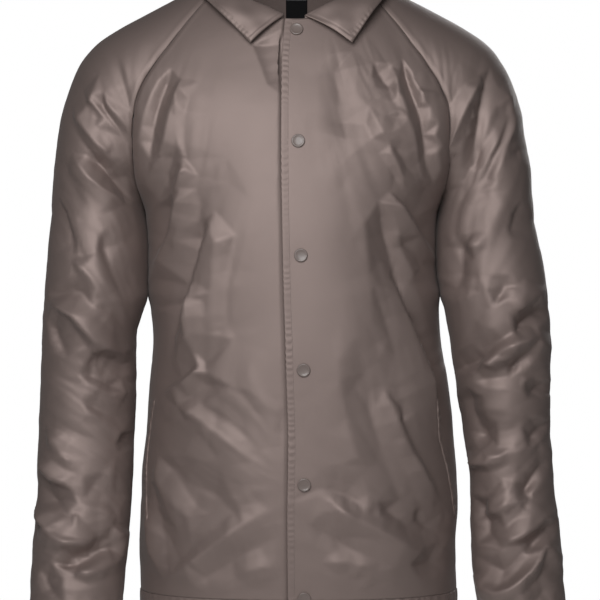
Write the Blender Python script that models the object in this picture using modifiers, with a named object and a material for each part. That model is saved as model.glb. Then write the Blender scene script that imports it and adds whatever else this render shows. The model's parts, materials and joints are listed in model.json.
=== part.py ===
"""Coach jacket, worn and buttoned, with no wearer in it.

Units are metres, +Z is up and the front faces -Y. The origin lies between the two points where the
jacket's neck sits on the shoulders. Right and left are the wearer's, so right is -X.
"""

import math
from collections import namedtuple

import bmesh
import bpy
import numpy as np
from mathutils import Matrix, Vector
from mathutils.bvhtree import BVHTree

# Driving sizes
MM = 0.001
UP = np.array([0.0, 0.0, 1.0])
WALL = 0.0018
SEAM_GAP = 0.0003
HEM_SEAM_Z = -0.713
HEM_HEIGHT = 0.022
HEM_WALL = 0.0022
HEM_PROUD = 0.0002
UNDERARM_Z = -0.268
NECK_FRONT_Z = -0.058
NECK_BACK_Z = -0.012
UNDERLAP = 0.017
UNDERLAP_DROP = 0.0027
UNDERLAP_RAMP = 0.024
UNDERLAP_START = 0.030
SHOULDER_SHIFT = -0.006

# Grid counts
BODY_ROWS = 20
ARMHOLE_ROWS = 10
FRONT_COLS = 12
BACK_COLS = 20
SLEEVE_ROWS = 21
SLEEVE_COLS = 18
CURVE_POINTS = 160

# The torso below the armholes, one row for each height
TorsoRow = namedtuple("TorsoRow", "z right_x left_x side_y front_y back_y")
TORSO = [
    TorsoRow(-0.713, -0.182, 0.187, 0.008, -0.134, 0.128),
    TorsoRow(-0.660, -0.184, 0.186, 0.012, -0.139, 0.128),
    TorsoRow(-0.620, -0.183, 0.189, 0.014, -0.142, 0.126),
    TorsoRow(-0.575, -0.181, 0.187, 0.015, -0.144, 0.122),
    TorsoRow(-0.530, -0.176, 0.183, 0.016, -0.145, 0.119),
    TorsoRow(-0.480, -0.173, 0.178, 0.017, -0.146, 0.118),
    TorsoRow(-0.424, -0.168, 0.169, 0.018, -0.147, 0.121),
    TorsoRow(-0.380, -0.171, 0.166, 0.018, -0.147, 0.126),
    TorsoRow(-0.330, -0.171, 0.160, 0.014, -0.146, 0.131),
    TorsoRow(-0.300, -0.172, 0.160, 0.008, -0.145, 0.134),
    TorsoRow(-0.268, -0.176, 0.164, 0.000, -0.143, 0.137),
]
TORSO_ROUNDNESS = 2.35

# The chest and the back beside the armholes, as shares of the way from the underarm to the neck
CentreRow = namedtuple("CentreRow", "share front_y back_y roundness")
CENTRE_LINES = [
    CentreRow(0.00, -0.143, 0.137, 2.35),
    CentreRow(0.25, -0.139, 0.139, 2.05),
    CentreRow(0.50, -0.132, 0.135, 1.80),
    CentreRow(0.75, -0.117, 0.118, 1.75),
    CentreRow(0.90, -0.105, 0.097, 1.90),
    CentreRow(1.00, -0.096, 0.078, 2.00),
]

# The armhole from the underarm up to the neck: its seam in front and behind, the sleeve's top line
# between them, and how far round the arm the sleeve goes to each seam
ArmholeRow = namedtuple(
    "ArmholeRow", "front_x front_y front_z back_x back_y back_z top_x top_z wrap_deg"
)
ARMHOLE = [
    ArmholeRow(0.170, 0.000, -0.268, 0.170, 0.000, -0.268, 0.2800, -0.266, 180),
    ArmholeRow(0.176, -0.036, -0.252, 0.176, 0.036, -0.252, 0.2765, -0.220, 152),
    ArmholeRow(0.180, -0.062, -0.226, 0.181, 0.064, -0.227, 0.2720, -0.183, 129),
    ArmholeRow(0.181, -0.079, -0.193, 0.182, 0.083, -0.197, 0.2640, -0.143, 110),
    ArmholeRow(0.178, -0.087, -0.161, 0.178, 0.094, -0.168, 0.2500, -0.106, 98),
    ArmholeRow(0.169, -0.090, -0.133, 0.168, 0.100, -0.141, 0.2290, -0.079, 90),
    ArmholeRow(0.155, -0.088, -0.109, 0.152, 0.102, -0.115, 0.2030, -0.061, 85),
    ArmholeRow(0.138, -0.082, -0.085, 0.133, 0.099, -0.090, 0.1740, -0.045, 80),
    ArmholeRow(0.120, -0.073, -0.060, 0.113, 0.090, -0.064, 0.1440, -0.029, 75),
    ArmholeRow(0.101, -0.060, -0.036, 0.092, 0.074, -0.038, 0.1150, -0.014, 70),
    ArmholeRow(0.083, -0.044, -0.016, 0.072, 0.055, -0.014, 0.0880, -0.001, 65),
]
UNDERARM_HALF_DEPTH = 0.074

# The sleeves below the armhole, one level ring for each height
SleeveRow = namedtuple("SleeveRow", "z inner_x outer_x centre_y half_depth seam_y")
RIGHT_SLEEVE = [
    SleeveRow(-0.268, -0.1760, -0.2860, 0.000, 0.074, 0.000),
    SleeveRow(-0.300, -0.1765, -0.2880, -0.012, 0.073, -0.003),
    SleeveRow(-0.330, -0.1755, -0.2900, -0.018, 0.072, -0.006),
    SleeveRow(-0.377, -0.1765, -0.2930, -0.022, 0.070, -0.010),
    SleeveRow(-0.424, -0.1866, -0.2955, -0.021, 0.067, -0.013),
    SleeveRow(-0.470, -0.1860, -0.2970, -0.018, 0.064, -0.016),
    SleeveRow(-0.530, -0.1880, -0.2990, -0.018, 0.061, -0.019),
    SleeveRow(-0.588, -0.1900, -0.3000, -0.024, 0.059, -0.022),
    SleeveRow(-0.634, -0.1930, -0.3020, -0.031, 0.057, -0.026),
    SleeveRow(-0.680, -0.1980, -0.3060, -0.039, 0.056, -0.032),
    SleeveRow(-0.722, -0.1995, -0.3075, -0.046, 0.055, -0.038),
    SleeveRow(-0.742, -0.2060, -0.3030, -0.049, 0.050, -0.042),
    SleeveRow(-0.752, -0.2170, -0.2930, -0.051, 0.040, -0.045),
]
LEFT_SLEEVE = [
    SleeveRow(-0.268, 0.1640, 0.2740, 0.000, 0.074, 0.000),
    SleeveRow(-0.300, 0.1655, 0.2790, -0.012, 0.073, -0.003),
    SleeveRow(-0.330, 0.1660, 0.2850, -0.018, 0.072, -0.006),
    SleeveRow(-0.377, 0.1715, 0.2910, -0.022, 0.070, -0.010),
    SleeveRow(-0.424, 0.1796, 0.2950, -0.020, 0.067, -0.012),
    SleeveRow(-0.470, 0.1850, 0.2940, -0.016, 0.064, -0.014),
    SleeveRow(-0.530, 0.1940, 0.2960, -0.014, 0.060, -0.014),
    SleeveRow(-0.588, 0.2030, 0.2990, -0.018, 0.057, -0.016),
    SleeveRow(-0.634, 0.2025, 0.3035, -0.024, 0.055, -0.020),
    SleeveRow(-0.680, 0.2040, 0.3070, -0.031, 0.054, -0.026),
    SleeveRow(-0.722, 0.2090, 0.3095, -0.038, 0.053, -0.032),
    SleeveRow(-0.742, 0.2140, 0.3060, -0.041, 0.048, -0.036),
    SleeveRow(-0.752, 0.2230, 0.2980, -0.043, 0.039, -0.038),
]
SLEEVE_TABLES = {"right": RIGHT_SLEEVE, "left": LEFT_SLEEVE}

# The front opening: the left front's edge, and the line of snaps, which is the centre front
EdgeRow = namedtuple("EdgeRow", "z edge_x snap_x")
FRONT_EDGE = [
    EdgeRow(-0.735, -0.0090, 0.0088),
    EdgeRow(-0.620, -0.0100, 0.0088),
    EdgeRow(-0.545, -0.0090, 0.0086),
    EdgeRow(-0.455, -0.0112, 0.0080),
    EdgeRow(-0.327, -0.0150, 0.0050),
    EdgeRow(-0.199, -0.0168, 0.0020),
    EdgeRow(-0.110, -0.0163, 0.0005),
    EdgeRow(-0.058, -0.0127, 0.0000),
]

# Snaps: the caps' places, and half their section from the crown down to the base, in millimetres
SnapRow = namedtuple("SnapRow", "radius height")
SNAP_SECTION = [
    SnapRow(0.00, 2.00),
    SnapRow(3.40, 2.15),
    SnapRow(5.40, 2.35),
    SnapRow(6.90, 2.10),
    SnapRow(7.70, 1.10),
    SnapRow(7.50, 0.00),
    SnapRow(0.00, 0.00),
]
SNAP_COUNT = 6
SNAP_FIRST_Z = -0.0715
SNAP_SPACING = 0.1279
SNAP_STEPS = 20

# Cuffs
CUFF_HEIGHT = 0.027
CUFF_WAVES = 14
CUFF_STEPS = 4
CUFF_WAVE_DEPTH = 0.0012
CUFF_WALL = 0.0022
CUFF_TAPER = 0.97

# Collar, from a front end round to the centre back, as shares of the way along half the neck seam:
# the stand's height, the roll's radius, the fall's edge, and how far the edge takes the shoulders' shift
CollarRow = namedtuple("CollarRow", "share stand roll edge_x edge_y edge_z shift")
COLLAR = [
    CollarRow(0.00, 0.0010, 0.0020, 0.0520, -0.113, -0.0870, 0.0),
    CollarRow(0.07, 0.0085, 0.0026, 0.0640, -0.108, -0.0740, 0.0),
    CollarRow(0.18, 0.0125, 0.0030, 0.0830, -0.098, -0.0535, 0.2),
    CollarRow(0.36, 0.0150, 0.0034, 0.1070, -0.062, -0.0270, 0.5),
    CollarRow(0.53, 0.0185, 0.0034, 0.1190, -0.010, -0.0130, 1.0),
    CollarRow(0.64, 0.0225, 0.0034, 0.1130, 0.030, -0.0150, 1.0),
    CollarRow(0.78, 0.0280, 0.0034, 0.0880, 0.074, -0.0270, 1.0),
    CollarRow(0.90, 0.0315, 0.0034, 0.0480, 0.098, -0.0360, 0.7),
    CollarRow(1.00, 0.0325, 0.0034, 0.0000, 0.104, -0.0385, 0.5),
]
COLLAR_WALL = 0.0020
COLLAR_LIFT = 0.00045
COLLAR_RIGHT_END_X = -0.0142
COLLAR_LEFT_END_X = 0.0096
COLLAR_STATIONS = 44
COLLAR_LEAN = 0.08
COLLAR_LEFT_POINT_SHIFT = 0.011
COLLAR_LEFT_POINT_REACH = 0.35
COLLAR_CLEARANCE = 0.0022
COLLAR_BULGE = 0.0035
COLLAR_ROLL_DEG = (0, 45, 90, 135)
COLLAR_FALL_STEPS = 4

# Pocket welts: the line of each opening on its front, and the strip that lies beside it
WeltRow = namedtuple("WeltRow", "z right_x left_x")
WELT_LINES = [
    WeltRow(-0.632, -0.171, 0.1830),
    WeltRow(-0.572, -0.172, 0.1725),
    WeltRow(-0.532, -0.169, 0.1625),
    WeltRow(-0.488, -0.162, 0.1595),
]
WELT_WIDTH = 0.022
WELT_WALL = 0.0013
WELT_ROWS = 9
WELT_COLS = 2

# Neck label, inside the centre back
LABEL_WIDTH = 0.0255
LABEL_TOP_Z = -0.016
LABEL_BOTTOM_Z = -0.062
LABEL_WALL = 0.0008
LABEL_ROWS = 5
LABEL_COLS = 2

# Largest folds, seen from the front or the back: a smooth line through three places in millimetres,
# the fold's half width and its depth. A negative depth is a ridge.
Fold = namedtuple("Fold", "face on x0 z0 x1 z1 x2 z2 width depth")
FOLDS = [
    Fold("front", "sleeve_right", -245, -150, -215, -180, -190, -205, 14, -6),
    Fold("front", "sleeve_right", -238, -185, -215, -215, -188, -245, 13, 5),
    Fold("front", "sleeve_right", -278, -190, -270, -260, -250, -340, 13, 4),
    Fold("front", "sleeve_right", -285, -378, -252, -392, -195, -436, 15, -7),
    Fold("front", "sleeve_right", -285, -345, -262, -362, -215, -380, 16, 5),
    Fold("front", "sleeve_right", -255, -445, -225, -455, -192, -462, 13, 5),
    Fold("front", "sleeve_right", -300, -555, -280, -590, -250, -575, 14, 5),
    Fold("front", "sleeve_right", -300, -610, -262, -670, -208, -640, 14, -6),
    Fold("front", "sleeve_right", -280, -672, -255, -692, -205, -655, 14, 5),
    Fold("front", "sleeve_left", 215, -110, 208, -160, 184, -220, 12, -5),
    Fold("front", "sleeve_left", 245, -140, 232, -190, 205, -255, 12, 6),
    Fold("front", "sleeve_left", 262, -210, 255, -260, 250, -310, 20, 4),
    Fold("front", "sleeve_left", 285, -385, 262, -395, 240, -425, 13, 6),
    Fold("front", "sleeve_left", 288, -415, 240, -430, 195, -465, 14, -7),
    Fold("front", "sleeve_left", 240, -440, 215, -450, 190, -470, 12, 5),
    Fold("front", "sleeve_left", 200, -525, 222, -560, 272, -535, 14, -5),
    Fold("front", "sleeve_left", 205, -600, 235, -625, 290, -570, 13, -5),
    Fold("front", "sleeve_left", 205, -690, 250, -725, 290, -625, 15, -6),
    Fold("front", "sleeve_left", 238, -690, 268, -655, 292, -600, 13, 5),
    Fold("front", "body", -148, -120, -162, -160, -168, -235, 12, 5),
    Fold("front", "body", -142, -240, -150, -330, -168, -370, 14, -5),
    Fold("front", "body", -98, -280, -115, -350, -145, -450, 26, 7),
    Fold("front", "body", -118, -390, -120, -425, -136, -470, 14, -5),
    Fold("front", "body", -160, -690, -70, -620, 0, -600, 34, -4),
    Fold("front", "body", 120, -110, 136, -160, 150, -230, 16, 6),
    Fold("front", "body", 95, -270, 118, -340, 150, -450, 26, 6),
    Fold("front", "body", 125, -285, 140, -330, 158, -360, 12, -5),
    Fold("front", "body", 118, -385, 138, -440, 150, -500, 15, -5),
    Fold("front", "body", 20, -620, 80, -670, 150, -700, 22, -4),
    Fold("front", "body", 30, -590, 95, -625, 160, -690, 24, 4),
    Fold("back", "body", -150, -230, -110, -310, -60, -370, 24, 5),
    Fold("back", "body", 140, -230, 105, -320, 50, -380, 24, 5),
    Fold("back", "body", -165, -430, -90, -470, -20, -480, 24, -5),
    Fold("back", "body", 168, -450, 95, -500, 20, -505, 24, -5),
    Fold("back", "body", -110, -560, -100, -630, -120, -710, 26, 5),
    Fold("back", "body", 80, -560, 95, -640, 85, -710, 26, 5),
    Fold("back", "sleeve_right", -280, -330, -240, -370, -195, -420, 15, 5),
    Fold("back", "sleeve_right", -295, -430, -245, -450, -195, -500, 15, -6),
    Fold("back", "sleeve_right", -298, -560, -250, -600, -200, -590, 15, -5),
    Fold("back", "sleeve_right", -225, -130, -205, -190, -188, -240, 14, 5),
    Fold("back", "sleeve_left", 282, -340, 238, -380, 190, -430, 15, 5),
    Fold("back", "sleeve_left", 290, -440, 245, -470, 198, -520, 15, -6),
    Fold("back", "sleeve_left", 298, -580, 255, -620, 208, -600, 15, -5),
    Fold("back", "sleeve_left", 222, -130, 200, -190, 180, -240, 14, 5),
]
FOLD_SAMPLES = 14

# How each cloth panel is read: the upright line that its outside faces away from, the folds it
# takes, and the edges of its grid of points that are sewn to another piece
Panel = namedtuple("Panel", "axis_x folds sewn")
PANELS = {
    "front_right": Panel(0.0, "body", ("last_col", "first_row", "last_row")),
    "front_left": Panel(0.0, "body", ("last_col", "first_row", "last_row")),
    "back": Panel(0.0, "body", ("first_col", "last_col", "first_row", "last_row")),
    "sleeve_right": Panel(-0.236, "sleeve_right", ("first_col", "last_col", "first_row", "last_row")),
    "sleeve_left": Panel(0.228, "sleeve_left", ("first_col", "last_col", "first_row", "last_row")),
}

# Materials: name, linear RGB colour, roughness and metallic value
CLOTH = ("jacket_cloth", (0.150, 0.124, 0.115, 1.0), 0.42, 0.0)
SNAP_METAL = ("snap_enamel", (0.170, 0.142, 0.126, 1.0), 0.32, 0.3)
LABEL_CLOTH = ("label_satin", (0.010, 0.010, 0.011, 1.0), 0.55, 0.0)


# Curves and tables


def smooth_through(keys, values, at):
    """A smooth curve through pairs of numbers that never overshoots them, read at one or more keys."""
    keys = np.asarray(keys, float)
    values = np.asarray(values, float)
    if keys[0] > keys[-1]:
        keys, values = keys[::-1], values[::-1]
    step = np.diff(keys)
    slope = np.diff(values) / step
    tangent = np.zeros_like(values)
    tangent[0], tangent[-1] = slope[0], slope[-1]
    for i in range(1, len(keys) - 1):
        if slope[i - 1] * slope[i] > 0:
            before = 2 * step[i] + step[i - 1]
            after = step[i] + 2 * step[i - 1]
            tangent[i] = (before + after) / (before / slope[i - 1] + after / slope[i])
    at = np.clip(np.asarray(at, float), keys[0], keys[-1])
    i = np.clip(np.searchsorted(keys, at, side="right") - 1, 0, len(step) - 1)
    t = (at - keys[i]) / step[i]
    start = (1 + 2 * t) * (1 - t) ** 2 * values[i] + t * (1 - t) ** 2 * step[i] * tangent[i]
    end = t * t * (3 - 2 * t) * values[i + 1] + t * t * (t - 1) * step[i] * tangent[i + 1]
    return start + end


def column(rows, key, value, at):
    """One named column of a table, read smoothly at a key."""
    return smooth_through([getattr(r, key) for r in rows], [getattr(r, value) for r in rows], at)


def lengths_along(points):
    """The distance of each point of a polyline from its first."""
    return np.concatenate([[0], np.cumsum(np.linalg.norm(np.diff(points, axis=0), axis=1))])


def read_along(points, length, at):
    """The columns of a polyline's points, read at distances along it."""
    return np.stack([np.interp(at, length, points[:, i]) for i in range(points.shape[1])], axis=1)


def resampled(points, count):
    """The polyline's points spread evenly, in a number of steps from its first point to its last."""
    length = lengths_along(points)
    return read_along(points, length, np.linspace(0, length[-1], count + 1))


def quarter(centre_point, side_point, roundness):
    """A quarter of a superellipse, level at the centre line and turning back at the side."""
    corner = np.array([centre_point[0], side_point[1], side_point[2]])
    t = np.linspace(0, math.pi / 2, CURVE_POINTS)[:, None]
    power = 2 / roundness
    along = (centre_point - corner) * np.cos(t).clip(0) ** power
    return corner + along + (side_point - corner) * np.sin(t) ** power


def cut_at(points, x, keep):
    """The part of a polyline that runs towards +X, above or below one X, with the cut's own point."""
    cut = np.array([[x, *(np.interp(x, points[:, 0], points[:, i]) for i in (1, 2))]])
    if keep == "above":
        return np.concatenate([cut, points[points[:, 0] > x]])
    return np.concatenate([points[points[:, 0] < x], cut])


def unit(vectors):
    return vectors / np.maximum(np.linalg.norm(vectors, axis=-1, keepdims=True), 1e-12)


def ease(value):
    """Goes smoothly from 0 to 1 as the value does, and stays there."""
    value = np.clip(value, 0, 1)
    return value * value * (3 - 2 * value)


# The panels' outer faces, as grids of points


def body_levels():
    return np.linspace(HEM_SEAM_Z, UNDERARM_Z, BODY_ROWS + 1)


def seam_point(side, row, edge):
    """A point of the armhole seam, which a sleeve shares with a front or the back."""
    sign = -1 if side == "right" else 1
    x, y, z = (getattr(row, f"{edge}_{axis}") for axis in "xyz")
    return np.array([sign * x + SHOULDER_SHIFT, y, z])


def centre_points(face):
    """The centre front or centre back, from the hem seam to the neck seam."""
    neck_z = NECK_FRONT_Z if face == "front" else NECK_BACK_Z
    shares = np.arange(1, ARMHOLE_ROWS + 1) / ARMHOLE_ROWS
    z = np.concatenate([body_levels(), UNDERARM_Z + (neck_z - UNDERARM_Z) * shares])
    lower = column(TORSO, "z", f"{face}_y", body_levels())
    upper = column(CENTRE_LINES, "share", f"{face}_y", shares)
    x = column(FRONT_EDGE, "z", "snap_x", z) if face == "front" else np.zeros_like(z)
    return np.stack([x, np.concatenate([lower, upper]), z], axis=1)


def side_points(side, face):
    """The side seam and then the armhole seam, from the hem to the neck."""
    points = []
    for z in body_levels()[:-1]:
        x = float(column(TORSO, "z", f"{side}_x", z))
        points.append(np.array([x, float(column(TORSO, "z", "side_y", z)), z]))
    return points + [seam_point(side, row, face) for row in ARMHOLE]


def girth_line(j, centre, sides):
    """Half the body's girth at one row, from the right side seam to the left."""
    share = max(0, j - BODY_ROWS) / ARMHOLE_ROWS
    roundness = float(column(CENTRE_LINES, "share", "roundness", share))
    to_right, to_left = (quarter(centre, sides[side][j], roundness) for side in ("right", "left"))
    return np.concatenate([to_right[::-1], to_left[1:]])


def front_grids():
    """Both fronts, each row from the opening to the side, with the right front tucked under the left."""
    sides = {side: side_points(side, "front") for side in ("right", "left")}
    right, left = [], []
    for j, centre in enumerate(centre_points("front")):
        across = girth_line(j, centre, sides)
        edge_x = float(column(FRONT_EDGE, "z", "edge_x", centre[2]))
        left.append(resampled(cut_at(across, edge_x, "above"), FRONT_COLS))
        row = resampled(cut_at(across, centre[0] + UNDERLAP, "below"), FRONT_COLS)[::-1]
        row[:, 1] += UNDERLAP_DROP * ease((row[:, 0] - edge_x + UNDERLAP_START) / UNDERLAP_RAMP)
        right.append(row)
    return np.array(right), np.array(left)


def back_grid():
    """The back, each row from the right side to the left."""
    sides = {side: side_points(side, "back") for side in ("right", "left")}
    centres = centre_points("back")
    return np.array([resampled(girth_line(j, c, sides), BACK_COLS) for j, c in enumerate(centres)])


def sleeve_arc(side, k):
    """One row of the sleeve above the underarm, from the front seam over the arm to the back seam."""
    row = ARMHOLE[k]
    sign = -1 if side == "right" else 1
    front, back = seam_point(side, row, "front"), seam_point(side, row, "back")
    top = np.array([sign * row.top_x + SHOULDER_SHIFT, 0.0, row.top_z])
    middle = (front + back) / 2
    wrap = math.radians(row.wrap_deg)
    closed = k == 0
    across = np.array([0.0, 1.0, 0.0]) if closed else unit(back - front)
    rise = (top - middle) - ((top - middle) @ across) * across
    reach = np.linalg.norm(rise) / (1 - math.cos(wrap))
    depth = UNDERARM_HALF_DEPTH if closed else np.linalg.norm(back - front) / 2 / math.sin(wrap)
    outward = unit(rise)
    centre = middle - reach * math.cos(wrap) * outward
    angle = np.linspace(-wrap, wrap, CURVE_POINTS)[:, None]
    arc = centre + reach * np.cos(angle) * outward + depth * np.sin(angle) * across
    arc[0], arc[-1] = front, back
    return resampled(arc, SLEEVE_COLS)


def sleeve_ring(table, z):
    """One level ring of the sleeve, from the underarm seam round the front and back to the seam."""
    inner, outer, centre_y, depth, seam_y = (
        float(column(table, "z", name, z)) for name in SleeveRow._fields[1:]
    )
    centre_x, reach = (inner + outer) / 2, abs(outer - inner) / 2
    towards_arm = math.copysign(1, outer - inner)
    start = math.asin((seam_y - centre_y) / depth)
    angle = np.linspace(-math.pi - start, math.pi - start, CURVE_POINTS)
    x = centre_x + towards_arm * reach * np.cos(angle)
    ring = np.stack([x, centre_y + depth * np.sin(angle), np.full(CURVE_POINTS, z)], axis=1)
    ring[-1] = ring[0]
    return resampled(ring, SLEEVE_COLS)


def sleeve_grid(side):
    """A sleeve, each row running round the arm, from the cuff seam to the neck seam."""
    table = SLEEVE_TABLES[side]
    levels = np.linspace(table[-1].z, UNDERARM_Z, SLEEVE_ROWS + 1)[:-1]
    rings = [sleeve_ring(table, z) for z in levels]
    return np.array(rings + [sleeve_arc(side, k) for k in range(ARMHOLE_ROWS + 1)])


def panel_grids():
    right, left = front_grids()
    return {
        "front_right": right,
        "front_left": left,
        "back": back_grid(),
        "sleeve_right": sleeve_grid("right"),
        "sleeve_left": sleeve_grid("left"),
    }


# Normals, shared along the seams so that two sewn walls never cross


def outer_normals(grid, axis_x):
    """Unit normals of a grid of points, the mean of its cells' own, pointing away from an upright line."""
    cells = unit(np.cross(grid[1:, 1:] - grid[:-1, :-1], grid[1:, :-1] - grid[:-1, 1:]))
    normals = np.zeros_like(grid)
    for corner in (np.s_[:-1, :-1], np.s_[:-1, 1:], np.s_[1:, :-1], np.s_[1:, 1:]):
        normals[corner] += cells
    normals = unit(normals)
    away = grid - np.array([axis_x, 0, 0])
    away[..., 2] = 0
    return normals if np.mean(np.sum(normals * away, axis=-1)) > 0 else -normals


def place_key(point):
    """A key that is the same for two points at one place."""
    return tuple(np.round(point / (0.01 * MM)).astype(int))


def edge_cells(grids):
    """The name, place and key of every point on the edges of the grids."""
    for name, grid in grids.items():
        rows, cols = grid.shape[:2]
        for j in range(rows):
            for i in range(cols):
                if j in (0, rows - 1) or i in (0, cols - 1):
                    yield name, (j, i), place_key(grid[j, i])


def underarm_bias(point):
    """Turns a shared normal down where the sleeve and the side seam meet back to back."""
    near = math.exp(-(((point[2] - UNDERARM_Z) / 0.012) ** 2) - (point[1] / 0.02) ** 2)
    return np.array([0.0, 0.0, -1.2 * near * (abs(point[0]) > 0.14)])


def shared_normals(grids):
    """The grids' normals, averaged wherever two of them have the same point."""
    normals = {name: outer_normals(grid, PANELS[name].axis_x) for name, grid in grids.items()}
    total = {}
    for name, cell, key in edge_cells(grids):
        total[key] = total.get(key, 0) + normals[name][cell]
    for name, cell, key in edge_cells(grids):
        normals[name][cell] = unit(total[key] + underarm_bias(grids[name][cell]))
    return normals


# Folds


def fold_line(fold):
    """The fold's line seen from the front, a smooth bend through its three places."""
    t = np.linspace(0, 1, FOLD_SAMPLES)[:, None]
    start, middle, end = (
        np.array([getattr(fold, f"x{i}"), getattr(fold, f"z{i}")]) * MM for i in range(3)
    )
    handle = 2 * middle - (start + end) / 2
    return (1 - t) ** 2 * start + 2 * t * (1 - t) * handle + t * t * end


def fold_depth(grid, normals, fold):
    """How far one fold pushes each point inwards, with soft shoulders and tapered ends."""
    line = fold_line(fold)
    span = np.diff(line, axis=0)
    offset = grid[:, :, None, [0, 2]] - line[:-1]
    t = np.clip((offset * span).sum(-1) / (span**2).sum(-1), 0, 1)
    gap = np.linalg.norm(offset - t[..., None] * span, axis=-1)
    nearest = gap.argmin(-1)[..., None]
    distance = gap.min(-1) / (fold.width * MM)
    along = (nearest + np.take_along_axis(t, nearest, -1))[..., 0] / len(span)
    taper = np.sin(math.pi * (0.1 + 0.8 * along))
    facing = normals[..., 1] * (-1 if fold.face == "front" else 1)
    shape = np.exp(-(distance**2)) - 0.35 * np.exp(-(((distance - 1.7) / 0.8) ** 2))
    return fold.depth * MM * shape * taper * ease((facing - 0.05) / 0.5)


def fold_room(grid, name):
    """Fades the folds at the neck, hem, cuffs and snaps, and where a sleeve comes near the side."""
    x, z = np.abs(grid[..., 0]), grid[..., 2]
    if name.startswith("sleeve"):
        return np.maximum(ease((x - 0.190) / 0.03), ease((z + 0.25) / 0.04)) * ease((z + 0.75) / 0.03)
    centre = 0.2 + 0.8 * ease((x - 0.025) / 0.03)
    side = 0.1 + 0.9 * np.maximum(ease((0.175 - x) / 0.03), ease((z + 0.25) / 0.04))
    return centre * side * ease((z - HEM_SEAM_Z) / 0.03) * ease((-0.02 - z) / 0.04)


def folded(grids):
    """The grids with their folds pushed in, by the same amount where two share a point."""
    normals = shared_normals(grids)
    depths, shared = {}, {}
    for name, grid in grids.items():
        taken = [fold for fold in FOLDS if fold.on == PANELS[name].folds]
        depths[name] = sum(fold_depth(grid, normals[name], fold) for fold in taken)
        depths[name] = depths[name] * fold_room(grid, name)
    for name, cell, key in edge_cells(grids):
        shared.setdefault(key, []).append(depths[name][cell])
    for name, cell, key in edge_cells(grids):
        depths[name][cell] = np.mean(shared[key])
    return {name: grid - normals[name] * depths[name][..., None] for name, grid in grids.items()}


# Solids


def pulled_back(grid, normals, edges):
    """The grid with its sewn edges drawn back by half the seam gap, along the cloth."""
    moved = grid.copy()
    places = {
        "first_col": (np.s_[:, 0], np.s_[:, 1]),
        "last_col": (np.s_[:, -1], np.s_[:, -2]),
        "first_row": (np.s_[0, :], np.s_[1, :]),
        "last_row": (np.s_[-1, :], np.s_[-2, :]),
    }
    for edge in edges:
        at, inside = places[edge]
        inward = grid[inside] - grid[at]
        inward = inward - (inward * normals[at]).sum(-1, keepdims=True) * normals[at]
        moved[at] += unit(inward) * SEAM_GAP / 2
    return moved


def grid_triangles(grid):
    """Triangles of a grid as (row, column) corners, each cell cut along its shorter diagonal."""
    rows, cols = grid.shape[:2]
    triangles = []
    for j in range(rows - 1):
        for i in range(cols - 1):
            cell = [(j, i), (j, i + 1), (j + 1, i + 1), (j + 1, i)]
            rising = np.linalg.norm(grid[cell[0]] - grid[cell[2]])
            falling = np.linalg.norm(grid[cell[1]] - grid[cell[3]])
            if falling < rising:
                cell = cell[1:] + cell[:1]
            triangles += [(cell[0], cell[1], cell[2]), (cell[0], cell[2], cell[3])]
    return triangles


def wall_between(name, outer, inner, material):
    """A closed wall between two grids whose points face each other, with square edges."""
    rows, cols = outer.shape[:2]
    mesh = bmesh.new()
    top = [[mesh.verts.new(point) for point in row] for row in outer]
    under = [[mesh.verts.new(point) for point in row] for row in inner]
    for corners in grid_triangles(outer):
        mesh.faces.new([top[j][i] for j, i in corners])
        mesh.faces.new([under[j][i] for j, i in reversed(corners)])
    rim = [(0, i) for i in range(cols)] + [(j, cols - 1) for j in range(1, rows)]
    rim += [(rows - 1, i) for i in reversed(range(cols - 1))]
    rim += [(j, 0) for j in reversed(range(1, rows - 1))]
    for (a, b), (c, d) in zip(rim, rim[1:] + rim[:1]):
        corners = [top[c][d], top[a][b], under[a][b], under[c][d]]
        rising = (corners[0].co - corners[2].co).length
        falling = (corners[1].co - corners[3].co).length
        if falling < rising:
            corners = corners[1:] + corners[:1]
        mesh.faces.new([corners[0], corners[1], corners[2]])
        mesh.faces.new([corners[0], corners[2], corners[3]])
    if mesh.calc_volume(signed=True) < 0:
        bmesh.ops.reverse_faces(mesh, faces=mesh.faces)
    return linked_object(name, mesh, material)


def shell(name, grid, thickness, side, material, axis_x=0.0, closed=False):
    """An open surface through a grid of points, made into a wall by Solidify.

    The surface faces away from an upright line at X. The wall lies behind it where side is -1, in
    front of it where side is 1, and on both sides at 0.
    """
    mesh = bmesh.new()
    points = [[mesh.verts.new(point) for point in row] for row in grid]
    cols = len(points[0])
    for low, high in zip(points, points[1:]):
        for i in range(cols if closed else cols - 1):
            n = (i + 1) % cols
            mesh.faces.new([low[i], low[n], high[n], high[i]])
    mesh.normal_update()
    outward = sum(
        face.normal.dot((face.calc_center_median() - Vector((axis_x, 0, 0))) * Vector((1, 1, 0)))
        for face in mesh.faces
    )
    if outward < 0:
        bmesh.ops.reverse_faces(mesh, faces=mesh.faces)
    obj = linked_object(name, mesh, material)
    solidify = obj.modifiers.new("Wall", "SOLIDIFY")
    solidify.thickness = thickness
    solidify.offset = side
    return obj


def linked_object(name, mesh, material):
    """A named object in the jacket's collection, made from a bmesh and shaded smooth."""
    data = bpy.data.meshes.new(name)
    mesh.to_mesh(data)
    mesh.free()
    data.materials.append(material)
    data.shade_smooth()
    data.set_sharp_from_angle(angle=math.radians(50))
    obj = bpy.data.objects.new(name, data)
    bpy.data.collections["coach_jacket"].objects.link(obj)
    return obj


def new_material(name, colour, roughness, metallic):
    material = bpy.data.materials.new(name)
    material.use_nodes = True
    shader = material.node_tree.nodes["Principled BSDF"]
    shader.inputs["Base Color"].default_value = colour
    shader.inputs["Roughness"].default_value = roughness
    shader.inputs["Metallic"].default_value = metallic
    material.diffuse_color = colour
    return material


# Clearance above the cloth


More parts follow.
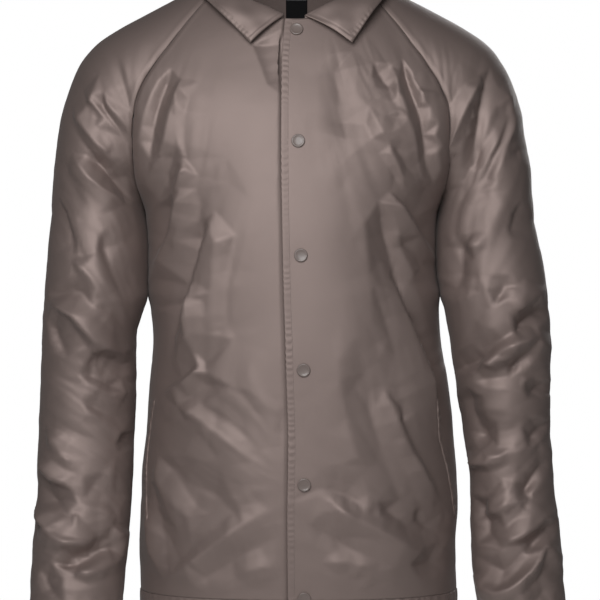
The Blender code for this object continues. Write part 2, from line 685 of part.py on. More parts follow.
def cloth_tree(grids):
    """A search tree over the faces of one or more grids."""
    points, faces = [], []
    for grid in grids:
        base, cols = len(points), grid.shape[1]
        points += [Vector(point) for point in grid.reshape(-1, 3)]
        faces += [[base + j * cols + i for j, i in corners] for corners in grid_triangles(grid)]
    return BVHTree.FromPolygons(points, faces)


def height_above(tree, point, direction):
    """How far a point lies above the cloth along a direction, or far above where no cloth is there."""
    reach = 20 * MM
    hit = tree.ray_cast(Vector(point + direction * reach), Vector(-direction), 2 * reach)[3]
    return reach if hit is None else hit - reach


def raised_clear(tree, grid, directions):
    """The grid, raised where its cells would come closer to the cloth than a seam's gap."""
    grid = grid.copy()
    steps = np.linspace(0, 1, 4)
    for _ in range(4):
        for j in range(grid.shape[0] - 1):
            for i in range(grid.shape[1] - 1):
                corners = np.s_[j : j + 2, i : i + 2]
                direction = unit(directions[corners].mean(axis=(0, 1)))
                low, high = grid[corners]
                samples = [
                    (1 - u) * ((1 - v) * low[0] + v * low[1]) + u * ((1 - v) * high[0] + v * high[1])
                    for u in steps
                    for v in steps
                ]
                lack = SEAM_GAP - min(height_above(tree, point, direction) for point in samples)
                if lack > 0:
                    grid[corners] += direction * lack
    return grid


# Pieces


def cloth_panels(grids, normals, material):
    """The two fronts, the back and the sleeves."""
    for name, grid in grids.items():
        outer = pulled_back(grid, normals[name], PANELS[name].sewn)
        wall_between(name, outer, outer - normals[name] * WALL, material)


def neck_line(grids):
    """The neck seam, from the collar's end on the right front round the back to its left end."""
    right = cut_at(grids["front_right"][-1][::-1], COLLAR_RIGHT_END_X, "below")[::-1]
    left = cut_at(grids["front_left"][-1], COLLAR_LEFT_END_X, "above")[::-1]
    rows = [right, grids["sleeve_right"][-1], grids["back"][-1], grids["sleeve_left"][-1][::-1], left]
    return np.concatenate([rows[0]] + [row[1:] for row in rows[1:]])


def collar_section(base_point, out, share, sign, tree):
    """The collar's middle line at one place: up the stand, over the roll and down the fall."""
    stand, roll, edge_x, edge_y, edge_z, shift = (
        float(column(COLLAR, "share", name, share)) for name in CollarRow._fields[1:]
    )
    edge = np.array([sign * edge_x + SHOULDER_SHIFT * shift, edge_y, edge_z])
    if sign > 0:
        edge[0] += COLLAR_LEFT_POINT_SHIFT * max(0, 1 - share / COLLAR_LEFT_POINT_REACH) ** 2
    base = base_point + UP * COLLAR_LIFT - out * COLLAR_WALL / 2
    top = base + UP * stand - out * stand * COLLAR_LEAN
    points = [base, (base + top) / 2]
    for degrees in COLLAR_ROLL_DEG:
        turn = math.radians(degrees)
        points.append(top + out * roll * (1 - math.cos(turn)) + UP * roll * math.sin(turn))
    start = points[-1]
    for step in range(1, COLLAR_FALL_STEPS + 1):
        t = step / COLLAR_FALL_STEPS
        bulge = unit(out + UP) * COLLAR_BULGE * math.sin(math.pi * t)
        points.append(lifted_off(tree, start + (edge - start) * t + bulge, unit(out + UP)))
    return points


def lifted_off(tree, point, away):
    """The point, moved off the cloth until the collar's clearance is kept."""
    point = Vector(point)
    for _ in range(8):
        near, normal, _, _ = tree.find_nearest(point)
        normal = normal if normal.dot(Vector(away)) > 0 else -normal
        lack = COLLAR_CLEARANCE - (point - near).dot(normal)
        if lack <= 0:
            break
        point += normal * lack
    return np.array(point)


def collar(grids, material):
    """The stand and fall collar, one piece turned over at its roll line."""
    line = neck_line(grids)
    length = lengths_along(line)
    at, step = np.linspace(0, length[-1], COLLAR_STATIONS + 1, retstep=True)
    tangents = read_along(line, length, at + step) - read_along(line, length, at - step)
    outs = unit(np.cross(UP, tangents * (1, 1, 0)))
    middle = length[-1] / 2
    tree = cloth_tree(grids.values())
    sections = []
    for distance, base_point, out in zip(at, read_along(line, length, at), outs):
        share = min(distance, length[-1] - distance) / middle
        sign = -1 if distance < middle else 1
        sections.append(collar_section(base_point, out, share, sign, tree))
    shell("collar", np.array(sections), COLLAR_WALL, 0, material)


def hem_grid(grids, normals):
    """The outer face of the casing below the hem seam, from the left front's edge round to the right's."""
    rows = {name: grids[name][0] + normals[name][0] * HEM_PROUD for name in grids}
    line = np.concatenate([rows["front_left"], rows["back"][::-1][1:], rows["front_right"][::-1][1:]])
    low, high = line.copy(), line.copy()
    high[:, 2] = HEM_SEAM_Z - SEAM_GAP
    low[:, 2] = HEM_SEAM_Z - HEM_HEIGHT
    return np.array([low, high])


def cuff(side, grid, material):
    """The gathered elastic band below a sleeve."""
    steps = CUFF_WAVES * CUFF_STEPS
    ring = resampled(grid[0], steps)[:-1]
    centre = ring.mean(axis=0)
    phase = 2 * math.pi * np.arange(steps) / CUFF_STEPS
    depth = CUFF_WAVE_DEPTH * (np.cos(phase) - 1)
    waved = ring + unit(ring - centre) * depth[:, None]
    rows = []
    for share in (0, 1):
        row = centre + (waved - centre) * (1 + (CUFF_TAPER - 1) * share)
        row[:, 2] = centre[2] - SEAM_GAP - CUFF_HEIGHT * share
        rows.append(row)
    axis_x = PANELS[f"sleeve_{side}"].axis_x
    shell(f"cuff_{side}", np.array(rows), CUFF_WALL, -1, material, axis_x=axis_x, closed=True)


def pocket_welt(side, grid, normals, tree, material):
    """The welt beside a pocket's opening, a strip that lies on the front and runs to the side."""
    sign = -1 if side == "right" else 1
    both = np.concatenate([grid, normals], axis=2)
    points, directions = [], []
    for z in np.linspace(WELT_LINES[0].z, WELT_LINES[-1].z, WELT_ROWS + 1):
        at = (z - HEM_SEAM_Z) / (UNDERARM_Z - HEM_SEAM_Z) * BODY_ROWS
        j, t = int(at), at - int(at)
        row = both[j] * (1 - t) + both[j + 1] * t
        length = lengths_along(row[:, :3])
        line_x = sign * float(column(WELT_LINES, "z", f"{side}_x", z))
        start = np.interp(line_x, sign * row[:, 0], length)
        read = read_along(row, length, start + np.linspace(0, WELT_WIDTH, WELT_COLS + 1))
        points.append(read[:, :3])
        directions.append(unit(read[:, 3:]))
    seated = raised_clear(tree, np.array(points), np.array(directions))
    shell(f"pocket_welt_{side}", seated, WELT_WALL, 1, material)


def front_place(grid, normals, x, z):
    """A point of a front's outer face and its normal, at one X and Z near the centre line."""
    both = np.concatenate([grid, normals], axis=2)
    across = np.array([[np.interp(x, row[:, 0], row[:, i]) for i in range(6)] for row in both])
    read = np.array([np.interp(z, across[:, 2], across[:, i]) for i in range(6)])
    return np.array([x, read[1], z]), unit(read[3:])


def snaps(grid, normals, tree, material):
    """The snap caps down the centre front, a turned section with one mesh for all."""
    mesh = bmesh.new()
    section = [mesh.verts.new((row.radius * MM, 0, row.height * MM)) for row in SNAP_SECTION]
    for first, second in zip(section, section[1:]):
        mesh.edges.new((first, second))
    cap = linked_object("snap_1", mesh, material)
    caps = [cap] + [bpy.data.objects.new(f"snap_{n}", cap.data) for n in range(2, SNAP_COUNT + 1)]
    radius = max(row.radius for row in SNAP_SECTION) * MM
    for index, cap in enumerate(caps):
        if index:
            bpy.data.collections["coach_jacket"].objects.link(cap)
        turned = cap.modifiers.new("Turned", "SCREW")
        turned.steps = turned.render_steps = SNAP_STEPS
        turned.use_merge_vertices = True
        turned.merge_threshold = 0.01 * MM
        z = SNAP_FIRST_Z - SNAP_SPACING * index
        place, normal = front_place(grid, normals, float(column(FRONT_EDGE, "z", "snap_x", z)), z)
        turn = Vector(normal).to_track_quat("Z", "Y").to_matrix().to_4x4()
        angles = np.linspace(0, 2 * math.pi, SNAP_STEPS, endpoint=False)
        rim = [turn @ Vector((radius * math.cos(a), radius * math.sin(a), 0)) for a in angles]
        lowest = min(height_above(tree, place + np.array(offset), normal) for offset in rim)
        lowest = min(lowest, height_above(tree, place, normal))
        cap.matrix_world = Matrix.Translation(place + normal * (SEAM_GAP - lowest)) @ turn


def neck_label(grid, normals, material):
    """The bare label on the inside of the back, under the collar seam."""
    inner = grid - normals * WALL
    tree = cloth_tree([inner])
    across = np.linspace(-LABEL_WIDTH / 2, LABEL_WIDTH / 2, LABEL_COLS + 1)
    points, directions = [], []
    for z in np.linspace(LABEL_TOP_Z, LABEL_BOTTOM_Z, LABEL_ROWS + 1):
        hits = [tree.ray_cast(Vector((x, 0, z)), Vector((0, 1, 0))) for x in across]
        points.append([np.array(place) for place, _, _, _ in hits])
        directions.append([-np.abs(np.array(normal)) * (0, 1, 1) for _, normal, _, _ in hits])
    seated = raised_clear(tree, np.array(points), unit(np.array(directions)))
    shell("neck_label", seated, LABEL_WALL, -1, material)


def main():
    for obj in list(bpy.data.objects):
        bpy.data.objects.remove(obj, do_unlink=True)
    bpy.context.scene.collection.children.link(bpy.data.collections.new("coach_jacket"))
    cloth, metal, satin = (new_material(*spec) for spec in (CLOTH, SNAP_METAL, LABEL_CLOTH))

    grids = folded(panel_grids())
    normals = shared_normals(grids)
    cloth_panels(grids, normals, cloth)
    collar(grids, cloth)
    casing = hem_grid(grids, normals)
    shell("hem_casing", casing, HEM_WALL, -1, cloth)
    fronts = cloth_tree([grids["front_left"], grids["front_right"], casing])
    for side in ("right", "left"):
        cuff(side, grids[f"sleeve_{side}"], cloth)
        pocket_welt(side, grids[f"front_{side}"], normals[f"front_{side}"], fronts, cloth)
    snaps(grids["front_left"], normals["front_left"], fronts, metal)
    neck_label(grids["back"], normals["back"], satin)


main()
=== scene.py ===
# %% [markdown]
# # A coach jacket, worn and snapped shut
#
# The real jacket is one thin layer of nylon taffeta, cut as two fronts, a back and two raglan sleeves.
# It has a shirt collar, six snaps, two slanted pockets, a cased hem and gathered cuffs. The model that
# carries it is loaded here as a fixed frame. Every piece below is drawn over that frame, in metres, with
# +Z up and the front facing -Y. Right and left are the wearer's, so right is -X.

# %% Load the frame
import json
import math
from collections import namedtuple

import bmesh
import bpy
import numpy as np
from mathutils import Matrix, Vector, geometry, noise
from mathutils.bvhtree import BVHTree

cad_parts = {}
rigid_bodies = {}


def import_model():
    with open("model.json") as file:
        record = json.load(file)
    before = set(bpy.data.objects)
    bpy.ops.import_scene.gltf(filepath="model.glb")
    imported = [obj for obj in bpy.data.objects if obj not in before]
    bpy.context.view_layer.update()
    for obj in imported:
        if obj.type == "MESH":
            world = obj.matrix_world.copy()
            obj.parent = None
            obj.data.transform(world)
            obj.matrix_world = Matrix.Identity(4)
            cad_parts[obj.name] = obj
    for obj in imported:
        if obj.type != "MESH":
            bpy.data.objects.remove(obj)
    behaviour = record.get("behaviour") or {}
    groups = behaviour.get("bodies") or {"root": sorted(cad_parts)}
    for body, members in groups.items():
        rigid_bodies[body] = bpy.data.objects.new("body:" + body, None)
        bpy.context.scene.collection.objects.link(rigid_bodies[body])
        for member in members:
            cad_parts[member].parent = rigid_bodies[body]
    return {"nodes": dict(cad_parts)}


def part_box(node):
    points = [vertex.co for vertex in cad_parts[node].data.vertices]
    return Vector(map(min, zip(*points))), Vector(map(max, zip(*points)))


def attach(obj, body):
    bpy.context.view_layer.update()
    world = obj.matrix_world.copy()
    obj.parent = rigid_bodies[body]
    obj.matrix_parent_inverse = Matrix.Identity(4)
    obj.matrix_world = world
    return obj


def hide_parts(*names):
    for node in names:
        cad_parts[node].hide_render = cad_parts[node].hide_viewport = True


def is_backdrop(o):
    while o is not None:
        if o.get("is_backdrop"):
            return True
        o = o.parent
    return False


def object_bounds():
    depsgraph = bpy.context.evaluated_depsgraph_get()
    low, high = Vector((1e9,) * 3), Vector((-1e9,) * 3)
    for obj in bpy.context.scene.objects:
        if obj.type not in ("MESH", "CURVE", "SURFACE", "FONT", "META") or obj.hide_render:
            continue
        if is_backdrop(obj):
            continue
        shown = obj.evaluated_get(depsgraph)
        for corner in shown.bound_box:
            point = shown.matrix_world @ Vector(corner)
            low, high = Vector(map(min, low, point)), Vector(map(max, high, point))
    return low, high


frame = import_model()
cad_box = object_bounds()
MM = 0.001
UP = np.array([0.0, 0.0, 1.0])
print("nodes in the frame:", len(frame["nodes"]))

# %% [markdown]
# ## The camera
#
# The camera stands three metres in front of the jacket, level with the middle of the body. A long lens
# keeps the sleeves from looking wider than the body, which is how a studio photographs clothes. It
# comes first because the big creases are drawn later as the camera sees them.

# %% Set the camera
CAMERA_PLACE = np.array([0.0041, -3.0, -0.377])
SENSOR_MM = 36.0
LENS_MM = 153.8

camera_data = bpy.data.cameras.new("camera")
camera_data.sensor_width = SENSOR_MM
camera_data.lens = LENS_MM
camera = bpy.data.objects.new("camera", camera_data)
camera.location = CAMERA_PLACE
camera.rotation_euler = (math.pi / 2, 0, 0)
bpy.context.scene.collection.objects.link(camera)
bpy.context.scene.camera = camera
print("width of the view at the body:", round(-CAMERA_PLACE[1] * SENSOR_MM / LENS_MM, 3), "m")

# %% [markdown]
# ## Reading tables smoothly
#
# A pattern maker writes down a few girths and joins them with a smooth curve. The same is done here: each
# table has only the rows that the shape needs, and a curve that never overshoots is read between them.
# A spline through the points would be shorter to write, but it bulges where two rows are close.


# %% Curves
def smooth_through(keys, values, at):
    """A smooth curve through pairs of numbers that never overshoots them, read at one or more keys."""
    keys = np.asarray(keys, float)
    values = np.asarray(values, float)
    if keys[0] > keys[-1]:
        keys, values = keys[::-1], values[::-1]
    step = np.diff(keys)
    slope = np.diff(values) / step
    tangent = np.zeros_like(values)
    tangent[0], tangent[-1] = slope[0], slope[-1]
    for i in range(1, len(keys) - 1):
        if slope[i - 1] * slope[i] > 0:
            before = 2 * step[i] + step[i - 1]
            after = step[i] + 2 * step[i - 1]
            tangent[i] = (before + after) / (before / slope[i - 1] + after / slope[i])
    at = np.clip(np.asarray(at, float), keys[0], keys[-1])
    i = np.clip(np.searchsorted(keys, at, side="right") - 1, 0, len(step) - 1)
    t = (at - keys[i]) / step[i]
    start = (1 + 2 * t) * (1 - t) ** 2 * values[i] + t * (1 - t) ** 2 * step[i] * tangent[i]
    end = t * t * (3 - 2 * t) * values[i + 1] + t * t * (t - 1) * step[i] * tangent[i + 1]
    return start + end


def column(rows, key, value, at):
    """One named column of a table, read smoothly at a key."""
    return smooth_through([getattr(r, key) for r in rows], [getattr(r, value) for r in rows], at)


def lengths_along(points):
    """The distance of each point of a polyline from its first."""
    return np.concatenate([[0], np.cumsum(np.linalg.norm(np.diff(points, axis=0), axis=1))])


def read_along(points, length, at):
    """The columns of a polyline's points, read at distances along it."""
    return np.stack([np.interp(at, length, points[:, i]) for i in range(points.shape[1])], axis=1)


def unit(vectors):
    return vectors / np.maximum(np.linalg.norm(vectors, axis=-1, keepdims=True), 1e-12)


def ease(value):
    """Goes smoothly from 0 to 1 as the value does, and stays there."""
    value = np.clip(value, 0, 1)
    return value * value * (3 - 2 * value)


print("halfway between 1 and 3:", float(smooth_through([0, 1], [1, 3], 0.5)))

# %% [markdown]
# ## The body's shape
#
# Worn cloth keeps the girth it was cut to, so the body is given as level sections: where its two sides
# are, how far forward the front comes and how far back the back goes. Each section is a superellipse,
# which is rounder than a box and squarer than an ellipse, like a chest.

# %% Tables for the body
TorsoRow = namedtuple("TorsoRow", "z right_x left_x side_y front_y back_y")
TORSO = [
    TorsoRow(-0.713, -0.182, 0.187, 0.008, -0.134, 0.128),
    TorsoRow(-0.660, -0.184, 0.186, 0.012, -0.139, 0.128),
    TorsoRow(-0.620, -0.183, 0.189, 0.014, -0.142, 0.126),
    TorsoRow(-0.575, -0.181, 0.187, 0.015, -0.144, 0.122),
    TorsoRow(-0.530, -0.176, 0.183, 0.016, -0.145, 0.119),
    TorsoRow(-0.480, -0.173, 0.178, 0.017, -0.146, 0.118),
    TorsoRow(-0.424, -0.168, 0.169, 0.018, -0.147, 0.121),
    TorsoRow(-0.380, -0.171, 0.166, 0.018, -0.147, 0.126),
    TorsoRow(-0.330, -0.171, 0.160, 0.014, -0.146, 0.131),
    TorsoRow(-0.300, -0.172, 0.160, 0.008, -0.145, 0.134),
    TorsoRow(-0.268, -0.176, 0.164, 0.000, -0.143, 0.137),
]
HEM_SEAM_Z = TORSO[0].z
UNDERARM_Z = TORSO[-1].z
NECK_FRONT_Z = -0.058
NECK_BACK_Z = -0.012
SHOULDER_SHIFT = -0.006

CentreRow = namedtuple("CentreRow", "share front_y back_y roundness")
CENTRE_LINES = [
    CentreRow(0.00, -0.143, 0.137, 2.35),
    CentreRow(0.25, -0.139, 0.139, 2.05),
    CentreRow(0.50, -0.132, 0.135, 1.80),
    CentreRow(0.75, -0.117, 0.118, 1.75),
    CentreRow(0.90, -0.105, 0.097, 1.90),
    CentreRow(1.00, -0.096, 0.078, 2.00),
]

ArmholeRow = namedtuple(
    "ArmholeRow", "front_x front_y front_z back_x back_y back_z top_x top_z wrap_deg"
)
ARMHOLE = [
    ArmholeRow(0.170, 0.000, -0.268, 0.170, 0.000, -0.268, 0.2800, -0.266, 180),
    ArmholeRow(0.176, -0.036, -0.252, 0.176, 0.036, -0.252, 0.2765, -0.220, 152),
    ArmholeRow(0.180, -0.062, -0.226, 0.181, 0.064, -0.227, 0.2720, -0.183, 129),
    ArmholeRow(0.181, -0.079, -0.193, 0.182, 0.083, -0.197, 0.2640, -0.143, 110),
    ArmholeRow(0.178, -0.087, -0.161, 0.178, 0.094, -0.168, 0.2500, -0.106, 98),
    ArmholeRow(0.169, -0.090, -0.133, 0.168, 0.100, -0.141, 0.2290, -0.079, 90),
    ArmholeRow(0.155, -0.088, -0.109, 0.152, 0.102, -0.115, 0.2030, -0.061, 85),
    ArmholeRow(0.138, -0.082, -0.085, 0.133, 0.099, -0.090, 0.1740, -0.045, 80),
    ArmholeRow(0.120, -0.073, -0.060, 0.113, 0.090, -0.064, 0.1440, -0.029, 75),
    ArmholeRow(0.101, -0.060, -0.036, 0.092, 0.074, -0.038, 0.1150, -0.014, 70),
    ArmholeRow(0.083, -0.044, -0.016, 0.072, 0.055, -0.014, 0.0880, -0.001, 65),
]
UNDERARM_HALF_DEPTH = 0.074

EdgeRow = namedtuple("EdgeRow", "z edge_x snap_x")
FRONT_EDGE = [
    EdgeRow(-0.735, -0.0090, 0.0088),
    EdgeRow(-0.620, -0.0100, 0.0088),
    EdgeRow(-0.545, -0.0090, 0.0086),
    EdgeRow(-0.455, -0.0112, 0.0080),
    EdgeRow(-0.327, -0.0150, 0.0050),
    EdgeRow(-0.199, -0.0168, 0.0020),
    EdgeRow(-0.110, -0.0163, 0.0005),
    EdgeRow(-0.058, -0.0127, 0.0000),
]
print("girth rows:", len(TORSO), "and armhole rows:", len(ARMHOLE))

# %% [markdown]
# ## The sleeves' shape
#
# A raglan sleeve runs up to the neck, so it has two stretches. Below the arm it is a tube of level
# rings, which narrow into the cuff. Above the underarm each row is an arc over the shoulder, from the
# front seam to the back seam. The two sleeves are alike but not mirrored, because the arms hang a
# little differently.

# %% Tables for the sleeves
SleeveRow = namedtuple("SleeveRow", "z inner_x outer_x centre_y half_depth seam_y")
RIGHT_SLEEVE = [
    SleeveRow(-0.268, -0.1760, -0.2860, 0.000, 0.074, 0.000),
    SleeveRow(-0.300, -0.1765, -0.2880, -0.012, 0.073, -0.003),
    SleeveRow(-0.330, -0.1755, -0.2900, -0.018, 0.072, -0.006),
    SleeveRow(-0.377, -0.1765, -0.2930, -0.022, 0.070, -0.010),
    SleeveRow(-0.424, -0.1866, -0.2955, -0.021, 0.067, -0.013),
    SleeveRow(-0.470, -0.1860, -0.2970, -0.018, 0.064, -0.016),
    SleeveRow(-0.530, -0.1880, -0.2990, -0.018, 0.061, -0.019),
    SleeveRow(-0.588, -0.1900, -0.3000, -0.024, 0.059, -0.022),
    SleeveRow(-0.634, -0.1930, -0.3020, -0.031, 0.057, -0.026),
    SleeveRow(-0.680, -0.1980, -0.3060, -0.039, 0.056, -0.032),
    SleeveRow(-0.722, -0.1995, -0.3075, -0.046, 0.055, -0.038),
    SleeveRow(-0.742, -0.2060, -0.3030, -0.049, 0.050, -0.042),
    SleeveRow(-0.752, -0.2170, -0.2930, -0.051, 0.040, -0.045),
]
LEFT_SLEEVE = [
    SleeveRow(-0.268, 0.1640, 0.2740, 0.000, 0.074, 0.000),
    SleeveRow(-0.300, 0.1655, 0.2790, -0.012, 0.073, -0.003),
    SleeveRow(-0.330, 0.1660, 0.2850, -0.018, 0.072, -0.006),
    SleeveRow(-0.377, 0.1715, 0.2910, -0.022, 0.070, -0.010),
    SleeveRow(-0.424, 0.1796, 0.2950, -0.020, 0.067, -0.012),
    SleeveRow(-0.470, 0.1850, 0.2940, -0.016, 0.064, -0.014),
    SleeveRow(-0.530, 0.1940, 0.2960, -0.014, 0.060, -0.014),
    SleeveRow(-0.588, 0.2030, 0.2990, -0.018, 0.057, -0.016),
    SleeveRow(-0.634, 0.2025, 0.3035, -0.024, 0.055, -0.020),
    SleeveRow(-0.680, 0.2040, 0.3070, -0.031, 0.054, -0.026),
    SleeveRow(-0.722, 0.2090, 0.3095, -0.038, 0.053, -0.032),
    SleeveRow(-0.742, 0.2140, 0.3060, -0.041, 0.048, -0.036),
    SleeveRow(-0.752, 0.2230, 0.2980, -0.043, 0.039, -0.038),
]
SLEEVE_TABLES = {"right": RIGHT_SLEEVE, "left": LEFT_SLEEVE}
SLEEVE_AXIS_X = {"right": -0.236, "left": 0.228}
CUFF_SEAM_Z = RIGHT_SLEEVE[-1].z
print("sleeve length below the arm:", round(UNDERARM_Z - CUFF_SEAM_Z, 3), "m")

# %% [markdown]
# ## From tables to grids of points
#
# Each panel becomes a grid: rows run round the body or the arm, and columns run up the cloth. A grid is
# easy to crease, because every point knows its neighbours. Points are closer together at the edges,
# where seams and hems need fine form, and further apart in the middle of a panel.

# %% How fine the grids are
BODY_ROWS = 172
ARMHOLE_STEPS = 12
SLEEVE_ROWS = 186
FRONT_COLS = 92
BACK_COLS = 148
SLEEVE_COLS = 120
CURVE_POINTS = 220
EDGE_STEP = 0.0013
EDGE_STEPS = 9
UNDERLAP = 0.017
UNDERLAP_DROP = 0.0036
UNDERLAP_RAMP = 0.0042
UNDERLAP_START = 0.0030


def graded(length, count, fine_start=False, fine_end=False):
    """Places along a length, close together at one or both ends."""
    start = EDGE_STEP * np.arange(EDGE_STEPS) if fine_start else np.zeros(1)
    end = length - EDGE_STEP * np.arange(EDGE_STEPS)[::-1] if fine_end else np.array([length])
    middle = np.linspace(start[-1], end[0], count + 3 - len(start) - len(end))
    return np.concatenate([start, middle[1:-1], end])


HEM_FINE = graded(UNDERARM_Z - HEM_SEAM_Z, BODY_ROWS, fine_start=True)
BODY_LEVELS = HEM_SEAM_Z + HEM_FINE
ARMHOLE_KEYS = np.arange(len(ARMHOLE), dtype=float)
ARMHOLE_AT = np.arange(1, (len(ARMHOLE) - 1) * ARMHOLE_STEPS + 1) / ARMHOLE_STEPS


def armhole(name, at):
    """One column of the armhole table, read at a row number or between two rows."""
    return smooth_through(ARMHOLE_KEYS, [getattr(row, name) for row in ARMHOLE], at)


def seam_points(side, face, at):
    """Points of the armhole seam, which a sleeve shares with a front or the back."""
    sign = -1 if side == "right" else 1
    x, y, z = (armhole(f"{face}_{axis}", at) for axis in "xyz")
    return np.stack([sign * x + SHOULDER_SHIFT, y, z], axis=-1)


def side_line(side, face):
    """The side seam and then the armhole seam, from the hem to the neck."""
    x = column(TORSO, "z", f"{side}_x", BODY_LEVELS)
    y = column(TORSO, "z", "side_y", BODY_LEVELS)
    lower = np.stack([x, y, BODY_LEVELS], axis=1)
    lower[-1] = seam_points(side, face, 0.0)
    return np.concatenate([lower, seam_points(side, face, ARMHOLE_AT)])


def centre_line(face):
    """The centre front or centre back, from the hem seam to the neck seam."""
    neck_z = NECK_FRONT_Z if face == "front" else NECK_BACK_Z
    shares = ARMHOLE_AT / ARMHOLE_AT[-1]
    z = np.concatenate([BODY_LEVELS, UNDERARM_Z + (neck_z - UNDERARM_Z) * shares])
    lower = column(TORSO, "z", f"{face}_y", BODY_LEVELS)
    upper = column(CENTRE_LINES, "share", f"{face}_y", shares)
    x = column(FRONT_EDGE, "z", "snap_x", z) if face == "front" else np.zeros_like(z)
    return np.stack([x, np.concatenate([lower, upper]), z], axis=1)


def quarter(centre_point, side_point, roundness):
    """A quarter of a superellipse, level at the centre line and turning back at the side."""
    corner = np.array([centre_point[0], side_point[1], side_point[2]])
    t = np.linspace(0, math.pi / 2, CURVE_POINTS)[:, None]
    power = 2 / roundness
    along = (centre_point - corner) * np.cos(t).clip(0) ** power
    return corner + along + (side_point - corner) * np.sin(t) ** power


def girth_lines(face):
    """Half the body's girth at every row, from the right side seam to the left."""
    shares = np.concatenate([np.zeros_like(BODY_LEVELS), ARMHOLE_AT / ARMHOLE_AT[-1]])
    roundness = column(CENTRE_LINES, "share", "roundness", shares)
    right, left = side_line("right", face), side_line("left", face)
    for centre, low_x, high_x, power in zip(centre_line(face), right, left, roundness):
        to_right = quarter(centre, low_x, power)[::-1]
        yield centre, np.concatenate([to_right, quarter(centre, high_x, power)[1:]])


def cut_at(points, x, keep):
    """The part of a polyline that runs towards +X, above or below one X, with the cut's own point."""
    cut = np.array([[x, *(np.interp(x, points[:, 0], points[:, i]) for i in (1, 2))]])
    if keep == "above":
        return np.concatenate([cut, points[points[:, 0] > x]])
    return np.concatenate([points[points[:, 0] < x], cut])


def respaced(points, count, fine_start=False, fine_end=False):
    """A polyline's points, spread along it in a number of steps."""
    length = lengths_along(points)
    return read_along(points, length, graded(length[-1], count, fine_start, fine_end))


def front_grids():
    """Both fronts, each row from the opening to the side, with the right front tucked under the left."""
    right, left = [], []
    for centre, across in girth_lines("front"):
        edge_x = float(column(FRONT_EDGE, "z", "edge_x", centre[2]))
        left.append(respaced(cut_at(across, edge_x, "above"), FRONT_COLS, True, True))
        tucked = cut_at(across, centre[0] + UNDERLAP, "below")[::-1]
        row = respaced(tucked, FRONT_COLS, False, True)
        row[:, 1] += UNDERLAP_DROP * ease((row[:, 0] - edge_x + UNDERLAP_START) / UNDERLAP_RAMP)
        right.append(row)
    return np.array(right), np.array(left)


def back_grid():
    """The back, each row from the right side to the left."""
    return np.array([respaced(across, BACK_COLS, True, True) for _, across in girth_lines("back")])


def sleeve_arc(side, at):
    """One row of the sleeve above the underarm, from the front seam over the arm to the back seam."""
    sign = -1 if side == "right" else 1
    front, back = seam_points(side, "front", at), seam_points(side, "back", at)
    top = np.array([sign * armhole("top_x", at) + SHOULDER_SHIFT, 0.0, armhole("top_z", at)])
    middle = (front + back) / 2
    wrap = math.radians(float(armhole("wrap_deg", at)))
    closed = at == 0
    across = np.array([0.0, 1.0, 0.0]) if closed else unit(back - front)
    rise = (top - middle) - ((top - middle) @ across) * across
    reach = np.linalg.norm(rise) / (1 - math.cos(wrap))
    depth = UNDERARM_HALF_DEPTH if closed else np.linalg.norm(back - front) / 2 / math.sin(wrap)
    outward = unit(rise)
    centre = middle - reach * math.cos(wrap) * outward
    angle = np.linspace(-wrap, wrap, CURVE_POINTS)[:, None]
    arc = centre + reach * np.cos(angle) * outward + depth * np.sin(angle) * across
    arc[0], arc[-1] = front, back
    return respaced(arc, SLEEVE_COLS, True, True)


def sleeve_ring(table, z):
    """One level ring of the sleeve, from the underarm seam round the front and back to the seam."""
    inner, outer, centre_y, depth, seam_y = (
        float(column(table, "z", name, z)) for name in SleeveRow._fields[1:]
    )
    centre_x, reach = (inner + outer) / 2, abs(outer - inner) / 2
    towards_arm = math.copysign(1, outer - inner)
    start = math.asin((seam_y - centre_y) / depth)
    angle = np.linspace(-math.pi - start, math.pi - start, CURVE_POINTS)
    x = centre_x + towards_arm * reach * np.cos(angle)
    ring = np.stack([x, centre_y + depth * np.sin(angle), np.full(CURVE_POINTS, z)], axis=1)
    ring[-1] = ring[0]
    return respaced(ring, SLEEVE_COLS, True, True)


def sleeve_grid(side):
    """A sleeve, each row running round the arm, from the cuff seam to the neck seam."""
    table = SLEEVE_TABLES[side]
    drop = UNDERARM_Z - CUFF_SEAM_Z
    levels = CUFF_SEAM_Z + graded(drop, SLEEVE_ROWS, fine_start=True)[:-1]
    rows = [sleeve_ring(table, z) for z in levels]
    rows += [sleeve_arc(side, at) for at in np.concatenate([[0.0], ARMHOLE_AT])]
    return np.array(rows)


JOIN_REACH = 16
JOIN_PASSES = 120


def eased_join(grid, row):
    """The grid, evened out up and down where its lower and upper stretches meet."""
    rows = np.arange(len(grid))
    share = 0.5 * ease(1 - np.abs(rows - row) / JOIN_REACH)[1:-1, None, None]
    grid = grid.copy()
    for _ in range(JOIN_PASSES):
        middle = (grid[:-2, 1:-1] + grid[2:, 1:-1]) / 2
        grid[1:-1, 1:-1] += (middle - grid[1:-1, 1:-1]) * share
    return grid


front_right_grid, front_left_grid = front_grids()
grids = {
    "front_right": eased_join(front_right_grid, BODY_ROWS),
    "front_left": eased_join(front_left_grid, BODY_ROWS),
    "back": eased_join(back_grid(), BODY_ROWS),
    "sleeve_right": eased_join(sleeve_grid("right"), SLEEVE_ROWS),
    "sleeve_left": eased_join(sleeve_grid("left"), SLEEVE_ROWS),
}
print("points in each panel:", {name: grid.shape[:2] for name, grid in grids.items()})

# %% [markdown]
# ## Sewing the panels into one skin
#
# If each panel were creased by itself, its edge would part from its neighbour's. So points that two
# panels share are merged first, and all the work on the cloth's form is done on the merged points.
# Later each panel takes its own points back.

# %% Merge the shared points
POINT_MERGE = 0.00002


def cells_of(i):
    """The four corners of every cell of a grid of point numbers."""
    return np.stack([i[:-1, :-1], i[:-1, 1:], i[1:, 1:], i[1:, :-1]], axis=-1).reshape(-1, 4)


